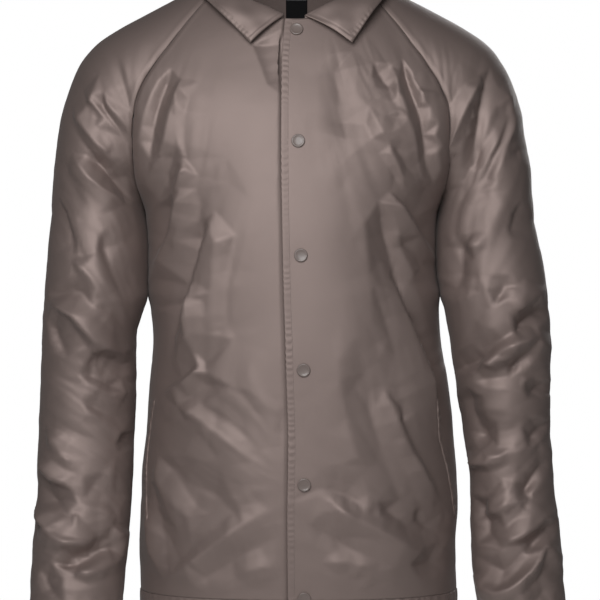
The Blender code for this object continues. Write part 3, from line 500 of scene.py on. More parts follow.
class Skin:
    """The merged points of all the panels, with each panel's grid of indices into them."""

    def __init__(self, grids):
        every = np.concatenate([grid.reshape(-1, 3) for grid in grids.values()])
        keys = np.round(every / POINT_MERGE).astype(np.int64)
        _, first, inverse = np.unique(keys, axis=0, return_index=True, return_inverse=True)
        self.points = every[first].copy()
        self.index = {}
        at = 0
        for name, grid in grids.items():
            count = grid.shape[0] * grid.shape[1]
            self.index[name] = inverse.ravel()[at : at + count].reshape(grid.shape[:2])
            at += count

    def normals(self, axes):
        """Unit normals of the points, facing away from each panel's own upright line."""
        total = np.zeros_like(self.points)
        for name, index in self.index.items():
            quads = cells_of(index)
            p = self.points[quads]
            face = np.cross(p[:, 2] - p[:, 0], p[:, 3] - p[:, 1])
            away = p.mean(axis=1) - np.array([axes[name], 0, 0])
            if (face[:, :2] * away[:, :2]).sum() < 0:
                face = -face
            for corner in range(4):
                np.add.at(total, quads[:, corner], face)
        return unit(total)


AXES = {name: 0.0 for name in grids}
AXES["sleeve_right"] = SLEEVE_AXIS_X["right"]
AXES["sleeve_left"] = SLEEVE_AXIS_X["left"]
skin = Skin(grids)
skin_normals = skin.normals(AXES)
print("merged points:", len(skin.points))

# %% [markdown]
# ## Creases, listed one by one
#
# Nylon taffeta is thin and crisp, so a worn jacket breaks into a few long ridges with flat facets
# between them, and each ridge is steeper on one side. A crease here is a path with a height, a width at
# each end and a lean. The paths are drawn in millimetres on an upright sheet through the body's middle,
# as the camera sees them, or as they look from behind for the back. A negative height is a trough.

# %% Crease tables
Crease = namedtuple("Crease", "path rise start_w end_w lean crisp")
FRONT_RIGHT_SLEEVE = [
    Crease([(-249, -131), (-222, -165), (-192, -200)], 5.0, 6, 9, 0.3, 1.4),
    Crease([(-236, -137), (-213, -170), (-190, -206)], -5.0, 6, 9, -0.3, 1.4),
    Crease([(-262, -150), (-232, -196), (-196, -232)], 3.5, 9, 11, 0.3, 1.5),
    Crease([(-246, -208), (-222, -228), (-190, -262)], -4.5, 7, 9, 0.3, 1.4),
    Crease([(-262, -205), (-236, -238), (-206, -262), (-188, -276)], 3.5, 9, 9, -0.3, 1.5),
    Crease([(-280, -255), (-268, -291), (-256, -346)], -3.5, 7, 9, -0.5, 1.4),
    Crease([(-291, -379), (-262, -393), (-236, -426), (-190, -446)], 7.0, 9, 12, 0.45, 1.4),
    Crease([(-289, -366), (-264, -371), (-238, -366)], -4.5, 8, 13, 0.0, 1.7),
    Crease([(-291, -398), (-281, -424), (-268, -446)], -4.0, 6, 10, 0.4, 1.4),
    Crease([(-240, -440), (-214, -448), (-188, -462)], -4.5, 8, 10, -0.3, 1.5),
    Crease([(-256, -464), (-230, -470), (-198, -486)], -3.5, 9, 9, 0.3, 1.5),
    Crease([(-252, -495), (-226, -508), (-196, -520)], -3.0, 9, 9, 0.3, 1.6),
    Crease([(-206, -532), (-190, -552)], -3.0, 8, 8, 0.0, 1.6),
    Crease([(-293, -528), (-270, -560), (-246, -566)], 2.5, 8, 9, 0.2, 1.6),
    Crease([(-301, -560), (-281, -590), (-260, -580)], 4.5, 8, 10, 0.4, 1.4),
    Crease([(-301, -590), (-284, -612), (-262, -600)], -4.5, 8, 12, 0.2, 1.6),
    Crease([(-250, -585), (-222, -604), (-196, -604)], -3.0, 12, 10, 0.0, 1.8),
    Crease([(-305, -617), (-284, -651), (-262, -664), (-238, -656), (-216, -641)], 6.5, 9, 11, 0.4, 1.4),
    Crease([(-304, -640), (-282, -668), (-262, -676)], 3.5, 5, 7, 0.0, 1.4),
    Crease([(-286, -684), (-258, -688), (-228, -672), (-200, -650)], -6.5, 9, 13, 0.45, 1.4),
    Crease([(-262, -700), (-232, -694), (-206, -676)], 3.5, 10, 9, 0.2, 1.6),
    Crease([(-212, -640), (-204, -664), (-200, -690)], 3.0, 8, 8, 0.2, 1.5),
    Crease([(-300, -690), (-290, -716), (-272, -730)], -3.5, 7, 9, 0.2, 1.5),
    Crease([(-230, -300), (-216, -344), (-200, -380)], -3.0, 9, 12, 0.3, 1.6),
    Crease([(-262, -330), (-240, -352), (-216, -392)], 3.0, 10, 12, 0.3, 1.6),
]
FRONT_LEFT_SLEEVE = [
    Crease([(226, -106), (219, -151), (206, -205), (190, -262)], -5.5, 5, 9, 0.35, 1.4),
    Crease([(216, -114), (201, -144), (184, -187), (170, -236)], 4.5, 5, 10, -0.2, 1.5),
    Crease([(246, -140), (247, -168), (236, -204), (206, -268)], -5.0, 6, 8, -0.4, 1.3),
    Crease([(247, -120), (246, -164), (228, -206), (198, -262)], 4.0, 6, 10, 0.3, 1.5),
    Crease([(262, -200), (250, -240), (222, -300)], 3.0, 12, 14, 0.3, 1.8),
    Crease([(258, -262), (252, -306)], -2.5, 8, 8, 0.4, 1.6),
    Crease([(196, -309), (221, -316)], 3.5, 8, 8, 0.0, 1.7),
    Crease([(193, -300), (190, -340), (186, -380)], -4.0, 9, 12, 0.0, 1.8),
    Crease([(230, -386), (242, -366), (252, -348)], -4.0, 6, 8, 0.3, 1.5),
    Crease([(255, -414), (274, -402), (296, -382)], -6.5, 8, 9, 0.3, 1.4),
    Crease([(252, -392), (272, -378), (292, -362)], 3.5, 8, 8, 0.2, 1.5),
    Crease([(210, -460), (247, -430), (297, -416)], 7.0, 7, 10, -0.3, 1.4),
    Crease([(180, -462), (216, -446), (254, -428)], -5.5, 8, 8, 0.3, 1.4),
    Crease([(206, -472), (240, -468), (280, -468)], -3.0, 8, 9, 0.2, 1.6),
    Crease([(248, -466), (266, -448), (284, -426)], -5.0, 5, 7, 0.3, 1.4),
    Crease([(272, -492), (296, -471)], -4.5, 8, 9, 0.2, 1.6),
    Crease([(198, -478), (206, -520), (226, -545)], -4.5, 12, 9, 0.0, 1.8),
    Crease([(200, -532), (228, -545), (246, -557)], -4.5, 8, 8, 0.3, 1.4),
    Crease([(198, -556), (219, -570), (254, -549)], 5.5, 7, 10, 0.3, 1.4),
    Crease([(270, -550), (298, -516)], -4.5, 6, 8, 0.4, 1.4),
    Crease([(260, -614), (280, -586), (299, -556)], -5.0, 6, 9, 0.4, 1.4),
    Crease([(213, -628), (240, -622), (272, -598)], 5.0, 7, 9, 0.3, 1.4),
    Crease([(206, -604), (222, -640), (214, -662)], -5.5, 9, 9, 0.2, 1.6),
    Crease([(240, -666), (272, -648), (303, -622)], 4.5, 7, 8, 0.3, 1.4),
    Crease([(268, -676), (288, -654), (303, -632)], -5.0, 6, 8, 0.3, 1.4),
    Crease([(206, -698), (237, -720), (272, -695), (303, -630)], 7.0, 8, 10, -0.3, 1.4),
    Crease([(212, -676), (240, -694), (266, -672)], -4.0, 9, 9, 0.0, 1.6),
    Crease([(292, -668), (284, -700), (262, -724)], -4.5, 7, 9, 0.3, 1.5),
]
FRONT_BODY = [
    Crease([(-146, -106), (-162, -140), (-172, -182), (-174, -230)], -5.5, 8, 11, 0.3, 1.5),
    Crease([(-136, -118), (-150, -160), (-158, -210), (-152, -246)], 3.5, 8, 9, 0.2, 1.5),
    Crease([(-140, -196), (-152, -226), (-160, -262)], -4.5, 8, 9, 0.0, 1.5),
    Crease([(-130, -212), (-142, -250), (-150, -262)], 3.5, 8, 8, 0.3, 1.4),
    Crease([(-134, -244), (-146, -300), (-172, -362)], 5.5, 9, 9, 0.5, 1.3),
    Crease([(-150, -256), (-158, -300), (-166, -330)], -4.0, 9, 9, 0.0, 1.6),
    Crease([(-96, -272), (-110, -320), (-122, -372), (-122, -420), (-110, -456)], 7.0, 12, 10, 0.55, 1.4),
    Crease([(-106, -282), (-128, -350), (-142, -420)], -4.5, 14, 16, 0.0, 1.9),
    Crease([(-124, -360), (-127, -404), (-144, -462)], 5.0, 7, 8, 0.4, 1.4),
    Crease([(-108, -450), (-126, -470), (-156, -488)], 5.0, 8, 8, 0.5, 1.4),
    Crease([(-104, -462), (-118, -484), (-138, -498)], -4.5, 10, 12, 0.3, 1.7),
    Crease([(-138, -500), (-96, -530), (-52, -566)], 3.5, 14, 22, 0.4, 1.8),
    Crease([(-110, -500), (-76, -520), (-44, -552)], -3.5, 16, 20, 0.0, 1.9),
    Crease([(-158, -706), (-112, -676), (-62, -640), (-12, -616)], 4.5, 14, 22, -0.4, 1.7),
    Crease([(-120, -712), (-84, -688), (-40, -664), (-12, -652)], -4.0, 14, 22, 0.0, 1.9),
    Crease([(-160, -560), (-130, -590), (-96, -604), (-60, -596)], -3.5, 12, 20, 0.0, 1.9),
    Crease([(-164, -560), (-156, -606), (-140, -646)], 3.0, 8, 9, 0.3, 1.6),
    Crease([(-170, -590), (-160, -640), (-146, -690)], -3.0, 8, 10, 0.3, 1.7),
    Crease([(-176, -620), (-168, -670), (-152, -706)], 3.0, 6, 9, 0.2, 1.5),
    Crease([(-72, -700), (-40, -690), (-10, -694)], 2.5, 12, 14, 0.0, 1.7),
    Crease([(-168, -386), (-146, -383), (-122, -384)], -1.2, 4, 4, 0.0, 1.3),
    Crease([(124, -94), (138, -134), (151, -176), (157, -222), (170, -260)], -7.0, 7, 10, -0.35, 1.3),
    Crease([(112, -104), (126, -146), (140, -190), (150, -236)], 4.0, 9, 12, 0.2, 1.6),
    Crease([(90, -100), (104, -122), (118, -140)], -3.0, 8, 9, 0.2, 1.7),
    Crease([(108, -190), (126, -214), (142, -238)], -4.0, 7, 9, 0.3, 1.5),
    Crease([(84, -150), (104, -188), (130, -222), (150, -252)], 3.0, 14, 14, 0.3, 1.8),
    Crease([(110, -250), (132, -286), (156, -328), (172, -352)], 5.0, 9, 8, -0.45, 1.3),
    Crease([(118, -300), (142, -330), (160, -366)], -4.5, 12, 10, 0.3, 1.6),
    Crease([(96, -262), (108, -300), (122, -350), (132, -392), (152, -450)], -5.5, 10, 14, -0.3, 1.6),
    Crease([(104, -330), (126, -384), (142, -430), (156, -482), (168, -560)], 5.5, 9, 9, -0.45, 1.3),
    Crease([(138, -392), (150, -430), (162, -470)], -3.5, 8, 8, 0.2, 1.5),
    Crease([(104, -478), (128, -540), (152, -586), (176, -628)], 4.5, 10, 9, -0.45, 1.4),
    Crease([(70, -420), (92, -500), (126, -576), (158, -640)], -3.5, 18, 22, 0.0, 1.9),
    Crease([(20, -600), (70, -634), (130, -664), (176, -694)], 4.5, 14, 16, -0.35, 1.7),
    Crease([(14, -640), (62, -668), (112, -690)], -4.0, 14, 18, 0.2, 1.8),
    Crease([(96, -612), (130, -640), (168, -664)], -4.0, 12, 12, 0.3, 1.7),
    Crease([(28, -686), (66, -684), (110, -702)], 3.0, 12, 12, 0.2, 1.6),
    Crease([(130, -686), (156, -684), (178, -676)], -4.0, 10, 10, 0.0, 1.6),
    Crease([(140, -622), (162, -646), (182, -652)], -3.5, 8, 8, 0.2, 1.6),
    Crease([(-13, -500), (-17, -530), (-14, -566)], -1.6, 4, 5, 0.0, 1.6),
    Crease([(12, -596), (48, -602), (84, -620)], -2.5, 8, 14, 0.3, 1.7),
    Crease([(40, -90), (52, -150), (64, -230)], -2.0, 16, 24, 0.0, 2.0),
]
PLACKET_TUCK = [Crease([(-17, -60), (-14.5, -96), (-14, -140)], -9.0, 16, 3, -0.6, 1.4)]
BACK_BODY = [
    Crease([(-146, -112), (-160, -160), (-170, -230)], -5.5, 8, 11, 0.3, 1.5),
    Crease([(-134, -130), (-146, -186), (-156, -250)], 4.0, 9, 10, 0.2, 1.5),
    Crease([(138, -112), (150, -160), (162, -236)], -5.5, 8, 11, -0.3, 1.5),
    Crease([(126, -126), (138, -180), (150, -246)], 4.0, 9, 11, -0.2, 1.5),
    Crease([(-160, -262), (-118, -316), (-66, -356)], 5.0, 9, 16, 0.4, 1.5),
    Crease([(-164, -290), (-126, -344), (-84, -384)], -4.5, 10, 16, 0.2, 1.7),
    Crease([(156, -268), (112, -322), (58, -366)], 5.0, 9, 16, -0.4, 1.5),
    Crease([(160, -300), (120, -352), (74, -394)], -4.5, 10, 16, -0.2, 1.7),
    Crease([(-168, -430), (-104, -462), (-30, -474)], 4.5, 10, 18, 0.4, 1.6),
    Crease([(-166, -456), (-100, -492), (-24, -500)], -4.5, 12, 18, 0.2, 1.8),
    Crease([(170, -446), (102, -484), (24, -494)], 4.5, 10, 18, -0.4, 1.6),
    Crease([(168, -478), (104, -514), (40, -522)], -4.0, 12, 18, 0.0, 1.8),
    Crease([(-40, -240), (-20, -330), (-34, -420)], -2.5, 18, 26, 0.0, 2.0),
    Crease([(44, -220), (30, -320), (44, -410)], -2.5, 18, 26, 0.0, 2.0),
    Crease([(-120, -540), (-100, -620), (-116, -704)], 4.5, 12, 16, 0.3, 1.6),
    Crease([(-88, -560), (-72, -640), (-82, -706)], -4.0, 14, 16, 0.0, 1.8),
    Crease([(-20, -560), (-8, -640), (-22, -706)], 3.0, 16, 16, 0.3, 1.8),
    Crease([(76, -548), (92, -630), (80, -706)], 4.5, 12, 16, -0.3, 1.6),
    Crease([(44, -560), (52, -640), (44, -706)], -3.5, 14, 16, 0.0, 1.8),
    Crease([(146, -560), (154, -630), (150, -706)], -4.0, 10, 12, 0.2, 1.7),
    Crease([(-60, -60), (-96, -110), (-120, -160)], -2.5, 14, 18, 0.0, 1.9),
    Crease([(56, -60), (90, -110), (114, -160)], -2.5, 14, 18, 0.0, 1.9),
]
BACK_RIGHT_SLEEVE = [
    Crease([(-254, -140), (-226, -186), (-196, -232)], 5.0, 7, 11, 0.3, 1.5),
    Crease([(-240, -150), (-214, -196), (-190, -240)], -5.0, 7, 10, -0.3, 1.5),
    Crease([(-272, -230), (-240, -280), (-200, -316)], 3.5, 10, 14, 0.3, 1.6),
    Crease([(-288, -330), (-246, -366), (-192, -404)], 5.5, 9, 11, 0.4, 1.4),
    Crease([(-288, -352), (-250, -392), (-196, -428)], -5.0, 9, 11, 0.2, 1.5),
    Crease([(-294, -404), (-250, -420), (-192, -446)], 6.0, 9, 10, 0.4, 1.4),
    Crease([(-296, -440), (-246, -452), (-196, -476)], -5.0, 9, 11, 0.3, 1.5),
    Crease([(-298, -486), (-252, -506), (-200, -512)], 4.0, 9, 12, 0.3, 1.6),
    Crease([(-300, -544), (-262, -580), (-206, -584)], 5.0, 9, 11, 0.4, 1.5),
    Crease([(-300, -570), (-266, -606), (-212, -610)], -4.5, 9, 12, 0.2, 1.6),
    Crease([(-304, -624), (-266, -660), (-210, -652)], 5.5, 9, 11, 0.4, 1.4),
    Crease([(-300, -660), (-262, -690), (-206, -678)], -5.5, 9, 12, 0.3, 1.5),
]
BACK_LEFT_SLEEVE = [
    Crease([(248, -136), (222, -186), (192, -240)], 5.0, 7, 11, -0.3, 1.5),
    Crease([(236, -150), (210, -200), (184, -250)], -5.0, 7, 10, 0.3, 1.5),
    Crease([(268, -240), (236, -290), (196, -326)], 3.5, 10, 14, -0.3, 1.6),
    Crease([(284, -340), (242, -376), (190, -416)], 5.5, 9, 11, -0.4, 1.4),
    Crease([(288, -364), (246, -402), (192, -442)], -5.0, 9, 11, -0.2, 1.5),
    Crease([(292, -414), (246, -432), (194, -462)], 6.0, 9, 10, -0.4, 1.4),
    Crease([(292, -452), (246, -468), (200, -496)], -5.0, 9, 11, -0.3, 1.5),
    Crease([(296, -500), (252, -524), (206, -528)], 4.0, 9, 12, -0.3, 1.6),
    Crease([(298, -560), (262, -596), (212, -598)], 5.0, 9, 11, -0.4, 1.5),
    Crease([(300, -588), (264, -624), (216, -626)], -4.5, 9, 12, -0.2, 1.6),
    Crease([(304, -636), (266, -676), (216, -664)], 5.5, 9, 11, -0.4, 1.4),
    Crease([(302, -672), (264, -704), (220, -692)], -5.5, 9, 12, -0.3, 1.5),
]
front_creases = FRONT_RIGHT_SLEEVE + FRONT_LEFT_SLEEVE + FRONT_BODY
back_creases = BACK_RIGHT_SLEEVE + BACK_LEFT_SLEEVE + BACK_BODY
print("creases:", len(front_creases) + len(PLACKET_TUCK) + len(back_creases))

# %% [markdown]
# ## How high a crease stands
#
# A crease's height at a place depends on the distance from the crease's path and on the side of it
# that the place lies on. The section is a tent: two flat flanks that meet in a narrow crest, because
# taffeta folds like paper, and a bell-shaped section would look like leather. A fold is narrow where
# it starts and fans out as it dies away. No point of the cloth is moved yet.

# %% The height of a crease
PATH_SAMPLES = 22
REACH = 4.0
START_FADE = 0.18
END_FADE = 0.40
TENT = 1.8
NARROW_START = 0.75
WIDE_END = 1.5
LEAN_MORE = 1.5
CREST_MM = 0.5
CREST_SOFTER = 5.0
SOFT_FROM_CRISP = 1.4
FOOT = 0.07


def seen_from(points, face):
    """Where points lie on the upright sheet, in millimetres, as the camera or a viewer behind sees it."""
    if face == "back":
        return points[:, [0, 2]] / MM
    share = -CAMERA_PLACE[1] / (points[:, 1] - CAMERA_PLACE[1])
    flat = CAMERA_PLACE[[0, 2]] + (points[:, [0, 2]] - CAMERA_PLACE[[0, 2]]) * share[:, None]
    return flat / MM


def smooth_path(corners):
    """A smooth curve through a crease's few points."""
    corners = np.array(corners, float)
    key = lengths_along(corners)
    at = np.linspace(0, key[-1], PATH_SAMPLES)
    if len(corners) == 2:
        return read_along(corners, key, at)
    padded = np.concatenate([[2 * corners[0] - corners[1]], corners, [2 * corners[-1] - corners[-2]]])
    out = []
    for place in at:
        i = min(np.searchsorted(key, place, side="right") - 1, len(corners) - 2)
        t = (place - key[i]) / (key[i + 1] - key[i])
        a, b, c, d = padded[i : i + 4]
        bend, twist = 2 * a - 5 * b + 4 * c - d, 3 * b - a - 3 * c + d
        out.append(0.5 * (2 * b + (c - a) * t + bend * t**2 + twist * t**3))
    return np.array(out)


def flank_width(crease, along, side):
    """How wide a crease's flank is, part of the way along it, on one side of its path."""
    start_w, end_w = crease.start_w * NARROW_START, crease.end_w * WIDE_END
    return TENT * (start_w + (end_w - start_w) * along) * (1 + LEAN_MORE * crease.lean * side)


def crease_height(flat, crease):
    """How far a crease lifts each point of the sheet, in millimetres."""
    path = smooth_path(crease.path)
    reach = REACH * max(crease.start_w, crease.end_w) * (1 + abs(crease.lean))
    near = np.all((flat > path.min(axis=0) - reach) & (flat < path.max(axis=0) + reach), axis=1)
    height = np.zeros(len(flat))
    if not near.any():
        return height
    span = np.diff(path, axis=0)
    offset = flat[near][:, None] - path[:-1]
    t = np.clip((offset * span).sum(-1) / (span**2).sum(-1), 0, 1)
    gap = offset - t[..., None] * span
    length = np.linalg.norm(gap, axis=-1)
    closest = length.argmin(-1)
    pick = np.arange(len(closest)), closest
    along = (closest + t[pick]) / len(span)
    side = np.sign(span[closest, 0] * gap[pick][:, 1] - span[closest, 1] * gap[pick][:, 0])
    width = flank_width(crease, along, side)
    crest = CREST_MM * (1 + CREST_SOFTER * max(0.0, crease.crisp - SOFT_FROM_CRISP))
    flank = 1 - (np.sqrt(length[pick] ** 2 + crest**2) - crest) / width
    shape = (flank + np.sqrt(flank**2 + FOOT**2)) / 2
    taper = ease(along / START_FADE) * ease((1 - along) / END_FADE)
    beyond = (t[pick] <= 0) & (closest == 0) | (t[pick] >= 1) & (closest == len(span) - 1)
    height[near] = crease.rise * shape * np.where(beyond, 0, taper)
    return height


# %% [markdown]
# ## Small folds that run with the large ones
#
# Between its large folds taffeta breaks into finer ones that run the same way. They are made by taking
# random noise on the upright sheet and smearing it along the direction of the nearest creases, so it
# turns into long streaks. Folding the streaks to and fro like a zigzag gives them flat flanks with
# sharp edges. They stay under two millimetres, and fade out where there are few creases.

# %% Streaks over the skin
AS_COMPLEX = np.array([1, 1j])
SHEET_MM = 1.6
SHEET_LOW = np.array([-332.0, -800.0])
SHEET_CELLS = (416, 520)
FIELD_EVERY = 6
FIELD_REACH_MM = 34.0
SMEAR_STEP_MM = 2.4
Streak = namedtuple("Streak", "passes reach_mm rise sleeve_rise seed")
STREAKS = [
    Streak(110, 90, 0.0005, 0.0008, 4),
    Streak(36, 70, 0.0004, 0.0007, 9),
    Streak(8, 40, 0.00018, 0.00035, 15),
]
ZIGZAG = 1.5
ZIGZAG_ROUND = 0.98
ZIGZAG_LEAN = 0.55
ZIGZAG_PEAK = 1.33
TURN_START = -0.30
TURN_SPAN = 0.5
BILLOW_SIZE = 0.085
BILLOW_RISE = 0.0010
CREASE_DENSITY = 90.0


def spread_out(values, passes):
    """The values, evened out over their neighbourhood."""
    for _ in range(2 * passes):
        values = np.pad(values, 1, mode="edge")
        values = ((values[:-2] + values[2:] + 2 * values[1:-1])[:, 1:-1] / 4).T
    return values


def sheet_places(every=1):
    """The sheet's places as complex numbers, X in the real part and Z in the imaginary part."""
    x = SHEET_LOW[0] + SHEET_MM * np.arange(0, SHEET_CELLS[0], every)
    z = SHEET_LOW[1] + SHEET_MM * np.arange(0, SHEET_CELLS[1], every)
    return x[:, None] + 1j * z[None]


def read_sheet(values, places, every=1):
    """The sheet's values at places given as complex numbers."""
    x = (places.real - SHEET_LOW[0]) / (SHEET_MM * every)
    z = (places.imag - SHEET_LOW[1]) / (SHEET_MM * every)
    x, z = np.clip(x, 0, values.shape[0] - 1.001), np.clip(z, 0, values.shape[1] - 1.001)
    i, j = x.astype(int), z.astype(int)
    s, t = x - i, z - j
    low = values[i, j] * (1 - s) + values[i + 1, j] * s
    high = values[i, j + 1] * (1 - s) + values[i + 1, j + 1] * s
    return low * (1 - t) + high * t


def crease_field(creases):
    """How the creases run near each place, as a doubled angle, and how many there are."""
    places = sheet_places(FIELD_EVERY)
    total = np.full(places.shape, 1e-6 + 0j)
    density = np.zeros(places.shape)
    for crease in creases:
        path = smooth_path(crease.path) @ AS_COMPLEX
        steps = np.diff(path)
        for middle, step in zip((path[:-1] + path[1:]) / 2, steps):
            weight = np.exp(-(np.abs(places - middle) ** 2) / (2 * FIELD_REACH_MM**2)) * abs(step)
            total += weight * (step / abs(step)) ** 2
            density += weight
    return total / np.abs(total), density


def smeared(values, field, reach_mm):
    """The sheet's values, averaged along the direction in which the creases run."""
    total = values.copy()
    steps = int(reach_mm / SMEAR_STEP_MM)
    for way in (1, -1):
        at = sheet_places()
        heading = way * np.sqrt(read_sheet(field, at, FIELD_EVERY))
        for step in range(steps):
            at = at + SMEAR_STEP_MM * heading / np.abs(heading)
            turn = np.sqrt(read_sheet(field, at, FIELD_EVERY))
            heading = np.where((turn * heading.conj()).real < 0, -turn, turn)
            total += read_sheet(values, at) * (1 - step / steps)
    return total / total.std()


def noise_at(points, size, stretch, seed):
    """Smooth noise between -1 and 1 at each point, with features of about one size."""
    places = points / (size * np.array(stretch)) + seed
    return np.array([noise.noise(Vector(place)) for place in places])


def facing_viewer(normals, face):
    """1 where the cloth looks at a viewer in front or behind, 0 where it lies side on."""
    return normals[:, 1] * (1 if face == "back" else -1)


def streaked(skin, normals, creases, face):
    """The lift, in metres, of the streaks seen from the front or the back."""
    field, density = crease_field(creases)
    seen = seen_from(skin.points, face) @ AS_COMPLEX
    facing = facing_viewer(normals, face)
    strong = ease(read_sheet(density, seen, FIELD_EVERY) / CREASE_DENSITY)
    strong *= 0.35 * ease((facing - TURN_START) / TURN_SPAN) + 0.65 * ease(facing / 0.7)
    out = np.zeros(len(skin.points))
    for streak in STREAKS:
        dice = np.random.default_rng(streak.seed + (face == "back"))
        values = spread_out(dice.standard_normal(SHEET_CELLS), streak.passes)
        values = smeared(values / values.std(), field, streak.reach_mm)
        turn = ZIGZAG * read_sheet(values, seen)
        folded = np.arcsin(ZIGZAG_ROUND * np.sin(turn + ZIGZAG_LEAN * np.cos(turn))) / ZIGZAG_PEAK
        out += folded * (streak.rise + (streak.sleeve_rise - streak.rise) * is_sleeve)
    return out * strong


is_sleeve = np.zeros(len(skin.points))
for name in ("sleeve_right", "sleeve_left"):
    is_sleeve[skin.index[name].ravel()] = 1.0
streaks = streaked(skin, skin_normals, front_creases, "front")
streaks += streaked(skin, skin_normals, back_creases, "back")
print("streaks between", round(streaks.min() / MM, 1), "and", round(streaks.max() / MM, 1), "mm")

# %% [markdown]
# ## Flat facets
#
# Taffeta that is bent in two ways at once can't stay smooth: it breaks into flat, mostly three-cornered
# facets that meet in sharp edges, like crumpled paper. So the creases' heights are only read at corners:
# along each crest, along its two feet and at scattered places between. Flat triangles join the corners,
# with every crest kept as an edge. The cloth is lifted along its normals by the height of those
# triangles, less where it turns from the viewer. The tables' heights are scaled up on the way, more on
# the sleeves than on the body.

# %% Lay the facets
STATION_MM = 24.0
CORNER_ROOM = 0.55
CORNER_MERGE_MM = 0.4
SCATTER = 0.4
ABOVE_MM = 500.0
FacetSize = namedtuple("FacetSize", "deeper gap_mm rough_mm")
BODY_FACETS = FacetSize(2.0, 30, 0.7)
SLEEVE_FACETS = FacetSize(2.2, 22, 0.8)
FacetRow = namedtuple("FacetRow", "panel creases face size seed")
FACETS = [
    FacetRow("sleeve_right", FRONT_RIGHT_SLEEVE, "front", SLEEVE_FACETS, 1),
    FacetRow("sleeve_left", FRONT_LEFT_SLEEVE, "front", SLEEVE_FACETS, 2),
    FacetRow("front_right", FRONT_BODY + PLACKET_TUCK, "front", BODY_FACETS, 3),
    FacetRow("front_left", FRONT_BODY, "front", BODY_FACETS, 3),
    FacetRow("back", BACK_BODY, "back", BODY_FACETS, 4),
    FacetRow("sleeve_right", BACK_RIGHT_SLEEVE, "back", SLEEVE_FACETS, 5),
    FacetRow("sleeve_left", BACK_LEFT_SLEEVE, "back", SLEEVE_FACETS, 6),
]


def crest_corners(crease):
    """Corners along a crease's crest, and along its feet on both sides."""
    path = smooth_path(crease.path)
    length = np.linalg.norm(np.diff(path, axis=0), axis=1).sum()
    share = np.linspace(0, 1, 3 + int(length // STATION_MM))
    at = share * (PATH_SAMPLES - 1)
    crest = read_along(path, np.arange(PATH_SAMPLES), at)
    left = unit(np.gradient(crest, axis=0))[:, ::-1] * (-1, 1)
    feet = []
    for side in (1, -1):
        width = flank_width(crease, share, side)
        feet.append((crest + side * left * width[:, None])[1:-1])
    return crest, np.concatenate(feet)


def facet_tree(creases, size, seed):
    """A search tree over flat facets whose height is the creases' height, in millimetres."""
    dice = np.random.default_rng(seed)
    corners, edges = [], []
    for crease in creases:
        crest, feet = crest_corners(crease)
        edges += [(len(corners) + i, len(corners) + i + 1) for i in range(len(crest) - 1)]
        corners += [*crest, *feet]
    high = SHEET_LOW + SHEET_MM * np.array(SHEET_CELLS)
    x, z = np.meshgrid(*(np.arange(a, b, size.gap_mm) for a, b in zip(SHEET_LOW, high)))
    loose = np.stack([x.ravel(), z.ravel()], axis=1)
    loose += dice.uniform(-SCATTER, SCATTER, loose.shape) * size.gap_mm
    room = np.linalg.norm(loose[:, None] - np.array(corners)[None], axis=-1).min(axis=1)
    corners += list(loose[room > CORNER_ROOM * size.gap_mm])
    flat_corners = [Vector(corner) for corner in corners]
    flat, _, faces, *_ = geometry.delaunay_2d_cdt(flat_corners, edges, [], 0, CORNER_MERGE_MM)
    flat = np.array(flat)
    height = sum(crease_height(flat, crease) for crease in creases) * size.deeper
    density = read_sheet(crease_field(creases)[1], flat @ AS_COMPLEX, FIELD_EVERY)
    height += size.rough_mm * ease(density / CREASE_DENSITY) * dice.standard_normal(len(flat))
    solid = [Vector((x, z, h)) for (x, z), h in zip(flat, height)]
    return BVHTree.FromPolygons(solid, faces)


def faceted(skin, normals, row):
    """The lift, in metres, that the facets give the points of one panel."""
    tree = facet_tree(row.creases, row.size, row.seed)
    taken = np.unique(skin.index[row.panel])
    flat = seen_from(skin.points[taken], row.face)
    facing = facing_viewer(normals[taken], row.face)
    hits = [tree.ray_cast(Vector((x, z, ABOVE_MM)), Vector((0, 0, -1)))[0] for x, z in flat]
    height = np.array([hit.z if hit else 0.0 for hit in hits])
    shown = ease((facing - TURN_START) / TURN_SPAN) * (0.5 + 0.5 * ease(facing / 0.6))
    out = np.zeros(len(skin.points))
    out[taken] = height * MM * shown
    return out


lift = sum(faceted(skin, skin_normals, row) for row in FACETS)
print("deepest trough and highest ridge:", round(lift.min() / MM, 1), round(lift.max() / MM, 1), "mm")
lift += streaks + BILLOW_RISE * noise_at(skin.points, BILLOW_SIZE, (1, 1, 1.5), 3.7)

# %% [markdown]
# ## Room at the edges
#
# The neck seam, the hem, the cuffs and the row of snaps hold the cloth still, so the folds must fade
# out there. The front edge keeps a little of them, since an edge can wave. The elastic of the cuffs
# gathers the sleeve ends. Below the underarm each sleeve hangs against the body's side, so the two
# are leaned together there, as far down as the photograph shows no light between them.

# %% Fade the lift, gather the cuffs and lean the sleeves
NECK_HOLD = 0.030
NECK_ROWS = 24
HEM_HOLD = 0.03
CUFF_HOLD = 0.02
SNAPS_KEEP = 0.30
SNAPS_REACH = 0.02
SNAPS_FADE = 0.035
CUFF_GATHERS = 15
CUFF_GATHER_RISE = 0.0042
CUFF_GATHER_HEIGHT = 0.045
GAP_OPENS_Z = -0.388
GAP_LEVEL = 0.003
GAP_OVERLAP = 0.0010
GAP_MOST = 0.013
GAP_FADE = 0.02


